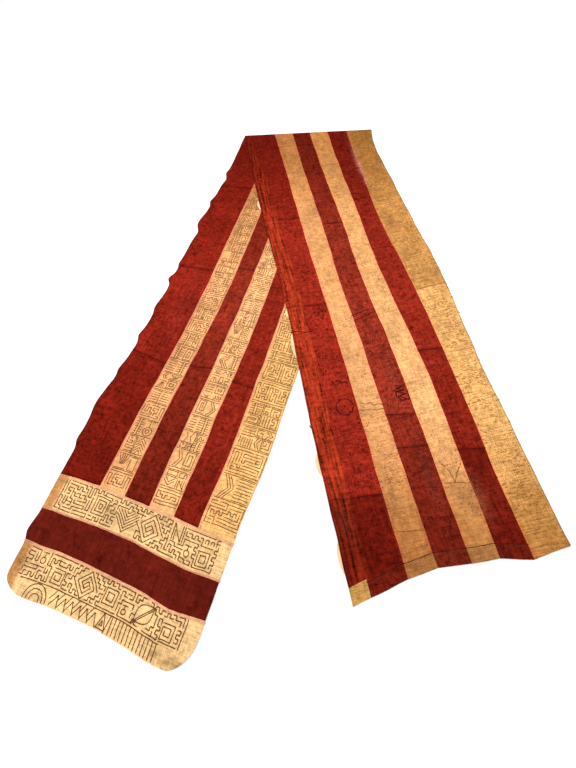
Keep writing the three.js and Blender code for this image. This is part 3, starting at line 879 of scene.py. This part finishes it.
# Runs a tree on a mesh with the given inputs and returns the plain mesh that comes out
def grown(name, tree, source, values):
    holder = linked(name, source)
    modifier = holder.modifiers.new("threadWork", "NODES")
    modifier.node_group = tree
    for item in tree.interface.items_tree:
        if item.in_out == "INPUT" and item.name in values:
            modifier[item.identifier] = values[item.name]
    mesh = bpy.data.meshes.new_from_object(holder.evaluated_get(bpy.context.evaluated_depsgraph_get()))
    bpy.data.objects.remove(holder)
    mesh.name = name
    return mesh


hand = {"step": 6, "above": 0.4, "shake": 1.3, "shakeLong": 24, "stripeWide": 120, "layer": 17,
        "otherLayer": 9}
sewing = {}  # node and kind of run: lists of points


def threadPoint(station, v):
    spot = Vector((station, v * hand["stripeWide"], hand["layer"])) / hand["shakeLong"]
    station += hand["shake"] * noise.noise(spot)
    x = lineX(station, v) + hand["shake"] * noise.noise(spot + Vector((0, 0, hand["otherLayer"])))
    top = max(clothPoint(station, v, x, v < 5), key=lambda face: face.z)
    return inFrame(top) + Vector((0, 0, hand["above"] * mm))


def nodeAt(station, v):
    if station < 0:
        for band in bands:
            if -station > acrossLine(band["from"], v):
                inBand = band["node"]
        if -station > acrossLine("stripesEnd", v):
            return inBand
    stripe = int(clamp(math.floor(v), 0, 5))
    panel = 0
    for start, end in panelLines[stripe][1:-1]:
        panel += station > lerp(start, end, v - stripe)
    return f"{stripes[stripe]['name']}_panel_{panel + 1}"


# Sews a line of flat points with one kind of run; place turns a flat point into a station and v
def sew(line, place, run):
    points = []
    for (ax, ay), (bx, by) in zip(line, line[1:]):
        count = max(1, math.ceil(math.hypot(bx - ax, by - ay) / hand["step"]))
        points += [(lerp(ax, bx, k / count), lerp(ay, by, k / count)) for k in range(count)]
    placed = [place(*point) for point in points + [line[-1]]]
    node = nodeAt(*placed[len(placed) // 2])
    sewing.setdefault((node, run), []).append([threadPoint(*spot) for spot in placed])


def levelLine(left, right, fall=0):
    return [(lerp(left, right, k / 20), fall * k / 20) for k in range(21)]


# Flat places on a stripe's field: across it from its left margin, and along it from the crease
def onStripe(stripe, arm, field):
    lean = armLean["lower" if arm < 0 else "upper"]

    def place(across, along):
        station = along * math.cos(lean) - arm * across * math.sin(lean)
        return arm * station, stripe + (field["inset"] + across) / field["total"]

    return place


# Flat places on a band: along the band from its left end, and down from its upper edge
def onBand(band, total, depth):
    def place(across, down):
        left, right = lineX(-acrossLine(band["from"], 0), 0), lineX(-acrossLine(band["from"], 0), 6)
        v = onPlan(-acrossLine(band["from"], 0), lerp(left, right, clamp(across / total)))[1]
        end = acrossLine(band["to"] or "lowerEnd", v)
        return -lerp(acrossLine(band["from"], v), end, down / depth), v

    return place


# Places given on the plan, as a station and an X
def onPlan(station, x):
    stripe = 0
    while stripe < 5 and x > lineX(station, stripe + 1):
        stripe += 1
    left, right = lineX(station, stripe), lineX(station, stripe + 1)
    return station, stripe + (x - left) / (right - left)


# Motifs, each for a field w wide and h high with lines about p apart
def keys(w, h, p, rng, taken=lambda x, y: False):
    columns, rows = max(1, round(w / p)), max(1, round(h / p))

    def spot(cell):
        return w * cell[0] / columns, h * cell[1] / rows

    def beside(cell):
        i, j = cell
        return [(i + 1, j), (i - 1, j), (i, j + 1), (i, j - 1)]

    free = {(i, j) for i in range(columns + 1) for j in range(rows + 1) if not taken(*spot((i, j)))}
    used, lines = set(), []
    while free:
        start = min(sorted(free), key=lambda cell: (sum(n in free for n in beside(cell)), rng.random()))
        free.discard(start)
        i, j = start
        path = [start]
        box = [(i + 1, j), (i + 1, j + 1), (i, j + 1)]
        if rng.random() < 0.08 and free.issuperset(box):
            path += box + [start]
            free.difference_update(box)
        long = rng.randint(4, 12)
        while len(path) < long:
            ways = [cell for cell in beside(path[-1]) if cell in free]
            if not ways:
                break
            path.append(min(ways, key=lambda cell: sum(n in free for n in beside(cell)) + rng.random() * 1.1))
            free.discard(path[-1])
        met = [cell for cell in beside(path[0]) if cell in used]
        if met and (len(path) == 1 or rng.random() < 0.3):
            path.insert(0, rng.choice(met))
        used.update(path)
        if len(path) > 1:
            lines.append([spot(cell) for cell in path])
    return lines


def uprights(w, h, p, rng):
    count = max(2, round(w / p) + 1)
    return [[(w * k / (count - 1), 0), (w * k / (count - 1), h)] for k in range(count)]


def levels(w, h, p, rng):
    return [[(y, x) for x, y in line] for line in uprights(h, w, p, rng)]


def comb(w, h, p, rng):
    count = max(2, round(h / p))
    teeth = [[(0, h * k / count), (w, h * k / count)] for k in range(count + 1)]
    return teeth + [[(0, 0), (0, h)]]


def nest(w, h, p, rng):
    lines = []
    step = 0
    while min(w, h) / 2 - step > p * 0.3:
        a, b, c, d = step, step, w - step, h - step
        lines.append([(a, b), (c, b), (c, d), (a, d), (a, b)])
        step += p
    return lines


def coil(w, h, p, rng):
    a, b, c, d = 0, 0, w, h
    line = [(0, 0)]
    while c - a > p * 0.5 and d - b > p * 0.5:
        line += [(c, b), (c, d), (a, d)]
        b += p
        if d - b > p * 0.5:
            line.append((a, b))
        a, c, d = a + p, c - p, d - p
    return [line]


def vees(w, h, p, rng):
    lines = []
    fall = min(h * 0.6, w / 2)
    step = h - fall
    while step + fall > p * 0.6:
        out = max(-step, 0) / fall * w / 2
        lines.append([(out, max(step, 0)), (w / 2, step + fall), (w - out, max(step, 0))])
        step -= p * 1.15
    return lines


def bolt(w, h, p, rng):
    near = p * 0.75
    return [[(0, h), (0, 0), (w - near, h), (w - near, 0)], [(near, h), (near, h * 0.4)], [(w, 0), (w, h)]]


def ringOn(cx, cy, radius, count=14):
    turn = 2 * math.pi / count
    return [(cx + radius * math.cos(turn * k), cy + radius * math.sin(turn * k)) for k in range(count + 1)]


def stemmedRing(w, h, p, rng):
    radius = min(w, h * 0.6, 3.4 * p) / 2
    lines = [ringOn(w / 2, h - radius, radius)]
    if radius > p * 1.3:
        lines.append(ringOn(w / 2, h - radius, radius - p, 10))
    aside = w / 2 - radius - p * 0.7
    while aside > -p * 0.1:
        lines += [[(max(aside, 0), 0), (max(aside, 0), h)], [(w - max(aside, 0), 0), (w - max(aside, 0), h)]]
        aside -= p
    if h > 2.4 * radius:
        lines += [[(w / 2, 0), (w / 2, h - 2 * radius)], [(w / 2 - radius, 0), (w / 2 + radius, 0)]]
    return lines


def arches(w, h, p, rng):
    lines = []
    reach = min(w / 2, h)
    angles = [math.pi / 9 * k for k in range(10)]
    while reach > p * 0.5:
        lines.append([(w / 2 + reach * math.cos(angle), h - reach * math.sin(angle)) for angle in angles])
        reach -= p
    return lines


def fan(w, h, p, rng):
    count = max(2, round(w / p))
    lines = [[(lerp(w / 2, w * k / count, 0.35), h * 0.35), (w * k / count, h)] for k in range(count + 1)]
    return lines + [[(0, 0), (w, 0)]]


def crossed(w, h, p, rng):
    middle, near = w * rng.uniform(0.35, 0.65), p * 0.5
    lines = [[(middle - near, 0), (middle - near, h)], [(middle + near, 0), (middle + near, h)]]
    for line in levels(w, h, p * 0.9, rng):
        lines += [[line[0], (middle - near, line[0][1])], [(middle + near, line[0][1]), line[1]]]
    return lines


def bentArms(w, h, p, rng):
    reach = min(w * 0.5, h / 2)
    count = int((w - reach) / p) + 1
    return [[(reach + k * p, 0), (k * p, h / 2), (reach + k * p, h)] for k in range(count)]


def triangles(w, h, p, rng):
    lines = []
    for share in (1, 1 - 2.6 * p / min(w, h)):
        if share > 0.1:
            a, low, high = share * w / 2, h * (0.66 + share * 0.34), h * 0.66 * (1 - share)
            lines.append([(w / 2 - a, low), (w / 2, high), (w / 2 + a, low), (w / 2 - a, low)])
    return lines


def leaf(w, h, p, rng):
    lines = [[(0, h), (w, 0)], [(p * 0.6, h), (w, p * 0.6)]]
    for bend in (-0.34, 0.34):
        bow = []
        for k in range(9):
            t = k / 8
            out = bend * math.sin(math.pi * t)
            bow.append((w * (t * 0.8 + 0.1) + out * h * 0.7, h * (0.9 - t * 0.8) + out * w * 0.7))
        lines.append([(clamp(x, 0, w), clamp(y, 0, h)) for x, y in bow])
    return lines


# Two square spirals that run into each other, standing on a corner
def twined(w, h, p, rng):
    arm = [(0.5, -0.5), (0.5, 1), (-1.5, 1), (-1.5, -2), (2.5, -2), (2.5, 3), (-3.5, 3)]
    unit = min(w, h) / 8.2
    turned = [((x - y) * 0.7071 * unit, (x + y) * 0.7071 * unit) for x, y in arm]
    return [[(w / 2 + side * x, h / 2 + side * y) for x, y in turned] for side in (1, -1)]


def moved(lines, x, y, flipX=None, flipY=None):
    placed = []
    for line in lines:
        line = [(flipX - px if flipX else px, flipY - py if flipY else py) for px, py in line]
        placed.append([(px + x, py + y) for px, py in line])
    return placed


def sewAll(lines, x, y, place, run):
    for line in moved(lines, x, y):
        sew(line, place, run)


# Patchwork of motifs: a field is cut in two until its parts are small, and each part gets one
def patchwork(w, h, p, rng, menu, largest):
    if max(w, h) > largest:
        share = rng.uniform(0.36, 0.64)
        if h >= w:
            cut = h * share
            parts = [(0, 0, w, cut), (0, cut, w, h - cut)]
            ruled = [[(0, cut), (w, cut)]] if rng.random() < 0.4 else []
        else:
            cut = w * share
            parts = [(0, 0, cut, h), (cut, 0, w - cut, h)]
            ruled = [[(cut, 0), (cut, h)]] if rng.random() < 0.25 else []
        for x, y, wide, high in parts:
            ruled += moved(patchwork(wide, high, p, rng, menu, largest), x, y)
        return ruled
    edge = p * 0.5
    wide, high = max(w - 2 * edge, p), max(h - 2 * edge, p)
    motif = rng.choice(menu)
    flipX = wide if rng.random() < 0.5 else None
    flipY = high if rng.random() < 0.5 else None
    return moved(motif(wide, high, p, rng), edge, edge, flipX, flipY)


def keysAround(w, h, p, rng, placed):
    def taken(x, y):
        for motif, cx, cy, wide, high in placed:
            across, down = abs(x - cx) / (wide / 2 + p * 0.5), abs(y - cy) / (high / 2 + p * 0.5)
            if (across + down if motif in (twined, leaf) else max(across, down)) < 1:
                return True
        return False

    lines = keys(w, h, p, rng, taken)
    for motif, cx, cy, wide, high in placed:
        lines += moved(motif(wide, high, p, rng), cx - wide / 2, cy - high / 2)
    return lines


stitchInputs = ("Step", "Long", "Wide", "High", "Slant", "Missing")
stitchKinds = {  # kind of run: its thread, then the tree's inputs in that order, lengths in metres
    "embroidery": ("dark", 0.0028, 0.008, 0.0031, 0.0013, 0.12),
    "boldEmbroidery": ("dark", 0.0028, 0.0088, 0.0038, 0.0015, 0.12),
    "fineEmbroidery": ("dark", 0.0026, 0.007, 0.0026, 0.0011, 0.12),
    "reverse": ("brown", 0.0052, 0.0048, 0.0016, 0.0009, 0.5, 0.55),
    "goldReverse": ("goldBrown", 0.005, 0.005, 0.0018, 0.0009, 0.4, 0.4),
    "redSeam": ("deepRed", 0.005, 0.0085, 0.003, 0.0012, 0.15),
    "brownSeam": ("brown", 0.005, 0.008, 0.003, 0.0011, 0.2, 0.06),
    "hemLine": ("black", 0.007, 0.0095, 0.0036, 0.0012, 0.0),
    # dark red thread that stands in for the shade of faint creases
    "creaseLine": ("deepRed", 0.006, 0.008, 0.0018, 0.0009, 0.1, 0.2),
    "piping": ("pink", 0.0045, 0.01, 0.003, 0.0015, 0.0),
    "mend": ("brown", 0.005, 0.0075, 0.0036, 0.0012, 0.2, 0.05),
    "redMend": ("deepRed", 0.005, 0.009, 0.0052, 0.0014, 0.3, 0.05),
}
mixedMotifs = [keys, keys, uprights, levels, comb, nest, coil, vees, vees, bolt, stemmedRing, fan, fan,
               crossed, crossed, crossed, bentArms, bentArms, arches]
barMotifs = [keys, keys, keys, uprights, levels, comb, crossed, bentArms, coil, bolt]

# The fields of embroidery on the three light stripes, front then back: where their blocks start and end along
# the stripe, how high a block is, and the distance between lines
fields = [
    {"stripe": 1, "arm": -1, "inset": 10, "wide": 90, "total": 109, "seed": 21, "run": "embroidery",
     "motifs": mixedMotifs, "keyed": 0.2,
     "blocks": [(400, 700, 60, 8.5), (700, 1030, 72, 10), (1030, 2182, 74, 11)]},
    {"stripe": 3, "arm": -1, "inset": 9, "wide": 91, "total": 108, "seed": 34, "run": "embroidery",
     "motifs": mixedMotifs, "keyed": 0.15,
     "blocks": [(420, 900, 66, 10), (900, 2240, 74, 11)]},
    {"stripe": 5, "arm": -1, "inset": 12, "wide": 139, "total": 156, "seed": 55, "run": "embroidery",
     "motifs": barMotifs, "keyed": 0.55,
     "blocks": [(420, 1000, 110, 9), (1000, 1500, 110, 10.5), (1500, 2296, 100, 11.5)]},
    {"stripe": 1, "arm": 1, "inset": 13, "wide": 80, "total": 106, "seed": 71, "run": "reverse",
     "motifs": mixedMotifs, "keyed": 0.25, "blocks": [(60, 2200, 110, 11.5)]},
    {"stripe": 3, "arm": 1, "inset": 12, "wide": 82, "total": 106, "seed": 83, "run": "reverse",
     "motifs": mixedMotifs, "keyed": 0.25, "blocks": [(60, 2150, 100, 11)]},
    {"stripe": 5, "arm": 1, "inset": 12, "wide": 122, "total": 146, "seed": 97, "run": "goldReverse",
     "motifs": barMotifs, "keyed": 0.6, "blocks": [(30, 1150, 110, 9), (1165, 2240, 120, 9)]},
]
for field in fields:
    rng = random.Random(field["seed"])
    place = onStripe(field["stripe"], field["arm"], field)
    wide = field["wide"]
    for start, end, high, pitch in field["blocks"]:
        count = max(1, round((end - start) / high))
        run = "fineEmbroidery" if field["arm"] < 0 and pitch < 10 else field["run"]
        tall = (end - start) / count
        for block in range(count):
            ruled = [[(0, 0), (wide, 0)]]
            down = pitch * 0.8 if rng.random() < 0.6 else 0
            if down:
                ruled.append([(0, down), (wide, down)])
            if rng.random() < field["keyed"]:
                ruled += moved(keys(wide, tall - down - pitch * 2, pitch, rng), 0, down + pitch)
            else:
                largest = high * rng.choice((0.7, 1.05, 1.05))
                ruled += moved(patchwork(wide, tall - down, pitch, rng, field["motifs"], largest), 0, down)
            sewAll(ruled, 0, lerp(start, end, block / count), place, run)
print("stripe embroidery drawn")

# The bands' flat sizes, and their larger motifs as a kind, the middle's place, a width and a height
lightBand, darkBand, endBand = bands
bandWidth, lightDeep, darkDeep, endDeep, hemStrip = 760, 127, 117, 155, 60
fieldLeft, fieldWide, keyPitch, bold = 44, 672, 11.2, "boldEmbroidery"
rng = random.Random(4)
lightMotifs = [(nest, 178, 50, 56, 60), (vees, 296, 66, 84, 72), (twined, 392, 54, 108, 104),
               (bolt, 506, 26, 44, 48), (stemmedRing, 560, 66, 26, 34), (nest, 626, 72, 44, 44)]
lightLines = keysAround(fieldWide, lightDeep - 25, keyPitch, rng, lightMotifs)
sewAll(lightLines, fieldLeft, 13, onBand(lightBand, bandWidth, lightDeep), bold)
endMotifs = [(stemmedRing, 66, 20, 28, 34), (coil, 150, 56, 44, 44), (twined, 262, 44, 100, 90),
             (nest, 366, 44, 46, 46), (stemmedRing, 430, 60, 22, 26), (leaf, 500, 42, 72, 80),
             (coil, 600, 52, 44, 46)]
placeEnd = onBand(endBand, bandWidth, endDeep)
endLines = keysAround(fieldWide - 14, endDeep - hemStrip - 13, keyPitch, rng, endMotifs)
sewAll(endLines, fieldLeft, 11, placeEnd, bold)

# The strip along the rounded end: a ruled line, arches, doubled teeth, a triangle and upright bars
ruleDown, footDown = endDeep - hemStrip + 6, endDeep - 5
stripDeep = footDown - ruleDown
teeth = {"from": 204, "count": 6, "pitch": 32}
bars = {"from": 448, "count": 13, "pitch": 14.5, "slant": 3}
sew([(fieldLeft + 16, ruleDown), (626, ruleDown)], placeEnd, bold)
sewAll(arches(112, stripDeep - 3, 14, rng), 84, ruleDown + 3, placeEnd, bold)
for k in range(teeth["count"]):
    left, right = teeth["from"] + teeth["pitch"] * k, teeth["from"] + teeth["pitch"] * (k + 1)
    peak = left + teeth["pitch"] * rng.uniform(0.5, 0.8)
    sew([(left, footDown - 2), (peak, ruleDown + 12), (right, footDown - 2)], placeEnd, bold)
    sew([(left - 6, footDown - 20), (peak - 9, ruleDown + 1)], placeEnd, bold)
sewAll(triangles(34, stripDeep - 4, 9, rng) + [[(40, 0), (34, stripDeep)]], 400, ruleDown + 2, placeEnd, bold)
for k in range(bars["count"]):
    across = bars["from"] + bars["pitch"] * k
    sew([(across, ruleDown + 1), (across + bars["slant"], footDown - 1)], placeEnd, bold)
print("band embroidery drawn")

# Double piping along the bands' edges
for band, deep, downs in ((lightBand, lightDeep, (2.5, 7.5, lightDeep - 2.5)), (darkBand, darkDeep, (1.5,)),
                          (endBand, endDeep, (2.5, 7.5))):
    for down in downs:
        for start in range(0, bandWidth, 190):
            sew([(start, down), (start + 190, down)], onBand(band, bandWidth, deep), "piping")

# Pink edge lines along the light stripes, seams between the panels and the stitched line of the end hem
edgeLine = {"in": 2.2, "from": 410, "long": 240}
hiddenSeam = -420  # under the upper arm
for field in fields[:3]:
    place = onStripe(field["stripe"], field["arm"], field)
    reach = 2070 + 33 * field["stripe"]
    for across in (edgeLine["in"] - field["inset"], field["total"] - field["inset"] - edgeLine["in"]):
        start = edgeLine["from"]
        while start < reach:
            sew([(across, start), (across, min(start + edgeLine["long"], reach))], place, "piping")
            start += edgeLine["long"]
for stripe, kind in enumerate(stripes):
    run = "redSeam" if kind["slot"] == "red_raffia" else "brownSeam"
    for start, end in kind["seams"]:
        if start != hiddenSeam:
            sew(levelLine(0.01, 0.99), lambda share, rise: (lerp(start, end, share), stripe + share), run)
    if stripe < 5:
        start, end = crossLines["upperEnd"][stripe], crossLines["upperEnd"][stripe + 1]
        first = lie["patchShare"] if stripe == 0 else 0.01
        sew(levelLine(first, 0.99),
            lambda share, rise: (lerp(start, end, share) - lie["endHem"] - 2, stripe + share), "hemLine")

# Mends and stray threads on the back, as station and X
mends = [
    [(1425, 372), (1419, 405), (1424, 440), (1416, 462)],
    [(1765 + 34 * math.sin(k / 2), 606 + 36 * math.cos(k / 2)) for k in range(13)],
    [(1330, 640), (1326, 652), (1318, 666), (1312, 684), (1300, 698), (1298, 722)],
    [(1668, 806), (1672, 838), (1680, 812), (1686, 846), (1694, 815), (1702, 850), (1712, 822), (1722, 854),
     (1734, 828)],
    [(1690, 806), (1700, 812), (1716, 812), (1730, 840), (1722, 866), (1700, 862)],
    [(1420, 700), (1422, 718)], [(1462, 700), (1474, 704), (1470, 712)],
    [(1510, 716), (1520, 728), (1534, 722)],
    [(1300, 484), (1298, 506), (1318, 512), (1338, 510)], [(1318, 488), (1334, 490)],
    [(1050, 604), (1060, 612), (1052, 622)], [(1096, 640), (1104, 656)], [(1140, 628), (1150, 640)],
    [(1660, 556), (1676, 572), (1668, 580)], [(1850, 470), (1862, 480)], [(1902, 520), (1916, 528)],
    [(1040, 396), (1052, 412), (1046, 428), (1060, 440)], [(1076, 402), (1090, 418)],
    [(1744, 668), (1752, 688), (1742, 704), (1754, 724), (1746, 742), (1752, 764)],
    [(1965, 952), (1998, 984), (2036, 1000), (2002, 1008), (1968, 1026)],
    [(1660, 566), (1652, 584), (1664, 596), (1656, 612), (1670, 622)],
]
for mend in mends:
    sew(mend, onPlan, "redMend" if nodeAt(*onPlan(*mend[1])).startswith("red") else "mend")

# Faint crease lines across the red stripes of the back, drawn as dark red thread: painted crease shade
rng = random.Random(12)
for stripe in (0, 2, 4):
    station = 180
    while station < 2180:
        start = rng.uniform(0.02, 0.3) if stripe == 4 else rng.uniform(0.4, 0.6)
        end = min(start + rng.uniform(0.3, 0.65), 0.98)
        sew(levelLine(start, end, rng.uniform(-7, 7)),
            lambda share, rise: (station + rise - 14 * share, stripe + share), "creaseLine")
        station += rng.uniform(40, 110)


def topFace(grid, fromStation, toStation, firstColumn):
    rows = [row[firstColumn:] for row in grid if fromStation <= row[0]["station"] <= toStation]
    width = len(rows[0])
    points = [inFrame(max(cell["faces"], key=lambda face: face.z)) for row in rows for cell in row]
    faces = []
    for r in range(len(rows) - 1):
        for c in range(width - 1):
            i = r * width + c
            faces.append((i, i + width, i + width + 1, i + 1))
    mesh = bpy.data.meshes.new("topFace")
    mesh.from_pydata(points, [], faces)
    return mesh


flatTurn = armLean["upper"]  # turns a speck along +X to lie across the stripe
speckThreads = {"red": "deepRed", "gold": "goldBrown", "light": "brown"}
speckInputs = ("Density", "Clump Edge", "Turn", "Spread", "Long")
shortSpecks = [  # node, from, to, then the tree's inputs in that order
    ("red_a_panel_4", 700, 1290, 2200.0, 0.52, 1.3, 0.5),
    ("red_a_panel_5", 740, 1280, 2600.0, 0.5, 1.2, 0.6),
    ("red_a_panel_6", 1290, 2110, 6200.0, 0.46, 0.9, 0.7),
    ("red_a_panel_7", 2110, 2400, 4200.0, 0.48, 0.5, 1.2),
    ("red_c_panel_4", 140, 760, 2600.0, 0.5, 1.3, 0.4),
    ("red_c_panel_5", 770, 1330, 4200.0, 0.46, 1.0, 0.8),
    ("red_c_panel_6", 1340, 1780, 5200.0, 0.45, 0.7, 1.0),
    ("red_c_panel_7", 1790, 1915, 5200.0, 0.45, 0.7, 1.0),
    ("red_c_panel_8", 1925, 2250, 5200.0, 0.45, 0.3, 1.2),
    ("red_e_panel_4", 140, 1490, 3000.0, 0.5, flatTurn, 0.3),
    ("red_e_panel_5", 1510, 1900, 3600.0, 0.48, flatTurn, 0.4),
    ("red_e_panel_6", 1920, 2220, 3600.0, 0.48, flatTurn, 0.6),
    ("gold_f_panel_2", 60, 1150, 5200.0, 0.46, flatTurn, 0.35, 0.013),
    ("gold_f_panel_3", 1180, 2210, 5600.0, 0.44, flatTurn, 0.3, 0.015),
    ("light_d_panel_2", 150, 2030, 2600.0, 0.54, flatTurn, 0.9),
    ("light_d_panel_3", 2040, 2220, 4600.0, 0.46, flatTurn, 0.9),
    ("light_b_panel_3", 1780, 2200, 4200.0, 0.46, flatTurn, 0.3),
    ("light_b_panel_2", 700, 1760, 1500.0, 0.54, flatTurn, 0.4),
]
longSpecks = [  # node, from, to and density
    ("red_a_panel_4", 300, 720, 120.0), ("red_a_panel_5", 740, 1280, 300.0),
    ("red_a_panel_6", 1290, 2100, 480.0), ("red_a_panel_7", 2110, 2400, 420.0),
    ("red_c_panel_4", 140, 750, 160.0), ("red_c_panel_5", 770, 1330, 360.0),
    ("red_c_panel_6", 1340, 1780, 300.0), ("red_c_panel_8", 1925, 2250, 420.0),
    ("red_e_panel_4", 900, 1490, 160.0), ("red_e_panel_5", 1510, 1900, 220.0),
    ("red_e_panel_6", 1920, 2220, 260.0),
]
longLook = {"Clump Edge": 0.4, "Clump Size": 9.0, "Long": 0.014, "Wide": 0.0058, "Turn": 0.9, "Spread": 1.3}
specks = [(node, start, end, {**dict(zip(speckInputs, values)), "Seed": seed})
          for seed, (node, start, end, *values) in enumerate(shortSpecks, 1)]
specks += [(node, start, end, {**longLook, "Density": density, "Seed": seed})
           for seed, (node, start, end, density) in enumerate(longSpecks, 31)]


def addThreads(node, name, tree, source, values):
    mesh = grown(name, tree, source, values)
    if mesh.polygons:
        dressed[node]["with"].append(newPiece(name, mesh, "dark_thread"))


for seed, ((node, run), lines) in enumerate(sewing.items(), 1):
    points, edges = [], []
    for line in lines:
        edges += [(len(points) + k, len(points) + k + 1) for k in range(len(line) - 1)]
        points += line
    source = bpy.data.meshes.new("threadLines")
    source.from_pydata(points, edges, [])
    thread, *values = stitchKinds[run]
    values = {**dict(zip(stitchInputs, values)), "Thread": threads[thread], "Seed": seed}
    addThreads(node, f"{node}_{run}", stitchRun, source, values)
for number, (node, start, end, values) in enumerate(specks, 1):
    values["Thread"] = threads[speckThreads[node.split("_")[0]]]
    firstColumn = grain["hemColumns"] + 1 if node.startswith("red_a") else 0  # past the turned side hem
    face = topFace(dressed[node]["grid"], start, end, firstColumn)
    addThreads(node, f"{node}_specks_{number}", threadSpecks, face, values)
print("thread work ready:", sum(len(facts["with"]) for facts in dressed.values()), "pieces")

# Camera, light and floor
view = {"imageHeight": 768, "focalPixels": 300, "sensor": 36, "place": (0.1209, -0.7972, 1.1839)}
camera = linked("camera", bpy.data.cameras.new("camera"))
bpy.context.scene.camera = camera
camera.data.sensor_width = view["sensor"]
camera.data.lens = view["focalPixels"] / view["imageHeight"] * camera.data.sensor_width
cameraRight = Vector((0.99551, 0.05746, -0.07528))
cameraForward = Vector((-0.09088, 0.35610, -0.93002))
cameraUp = cameraRight.cross(cameraForward)
turned = camera.matrix_world.copy()
for column, axis in enumerate((cameraRight, cameraUp, -cameraForward, view["place"])):
    for row in range(3):
        turned[row][column] = axis[row]
camera.matrix_world = turned

lamp = linked("softbox", bpy.data.lights.new("softbox", "AREA"))
lamp.data.shape = "RECTANGLE"
lamp.data.size, lamp.data.size_y = 5, 5
lamp.data.energy = 190
lamp.location = (-0.9, 0.9, 4.2)
lamp.rotation_euler = (math.radians(-12), math.radians(-12), 0)
world = bpy.data.worlds.new("studio")
bpy.context.scene.world = world
world.use_nodes = True
world.node_tree.nodes["Background"].inputs["Color"].default_value = (1, 1, 1, 1)
world.node_tree.nodes["Background"].inputs["Strength"].default_value = 0.75
bpy.context.scene.view_settings.view_transform = "Standard"

floorMesh = bpy.data.meshes.new("floor")
corners = [(x * 9, y * 9, -0.0005) for x, y in ((-1, -1), (1, -1), (1, 1), (-1, 1))]
floorMesh.from_pydata(corners, [], [(0, 1, 2, 3)])
floor = linked("floor", floorMesh)
floorLook, wire, shader = newMaterial("paleFloor")
wire.fill(shader, {"Base Color": (0.92, 0.92, 0.92, 1), "Roughness": 1, "Specular IOR Level": 0})
floorMesh.materials.append(floorLook)
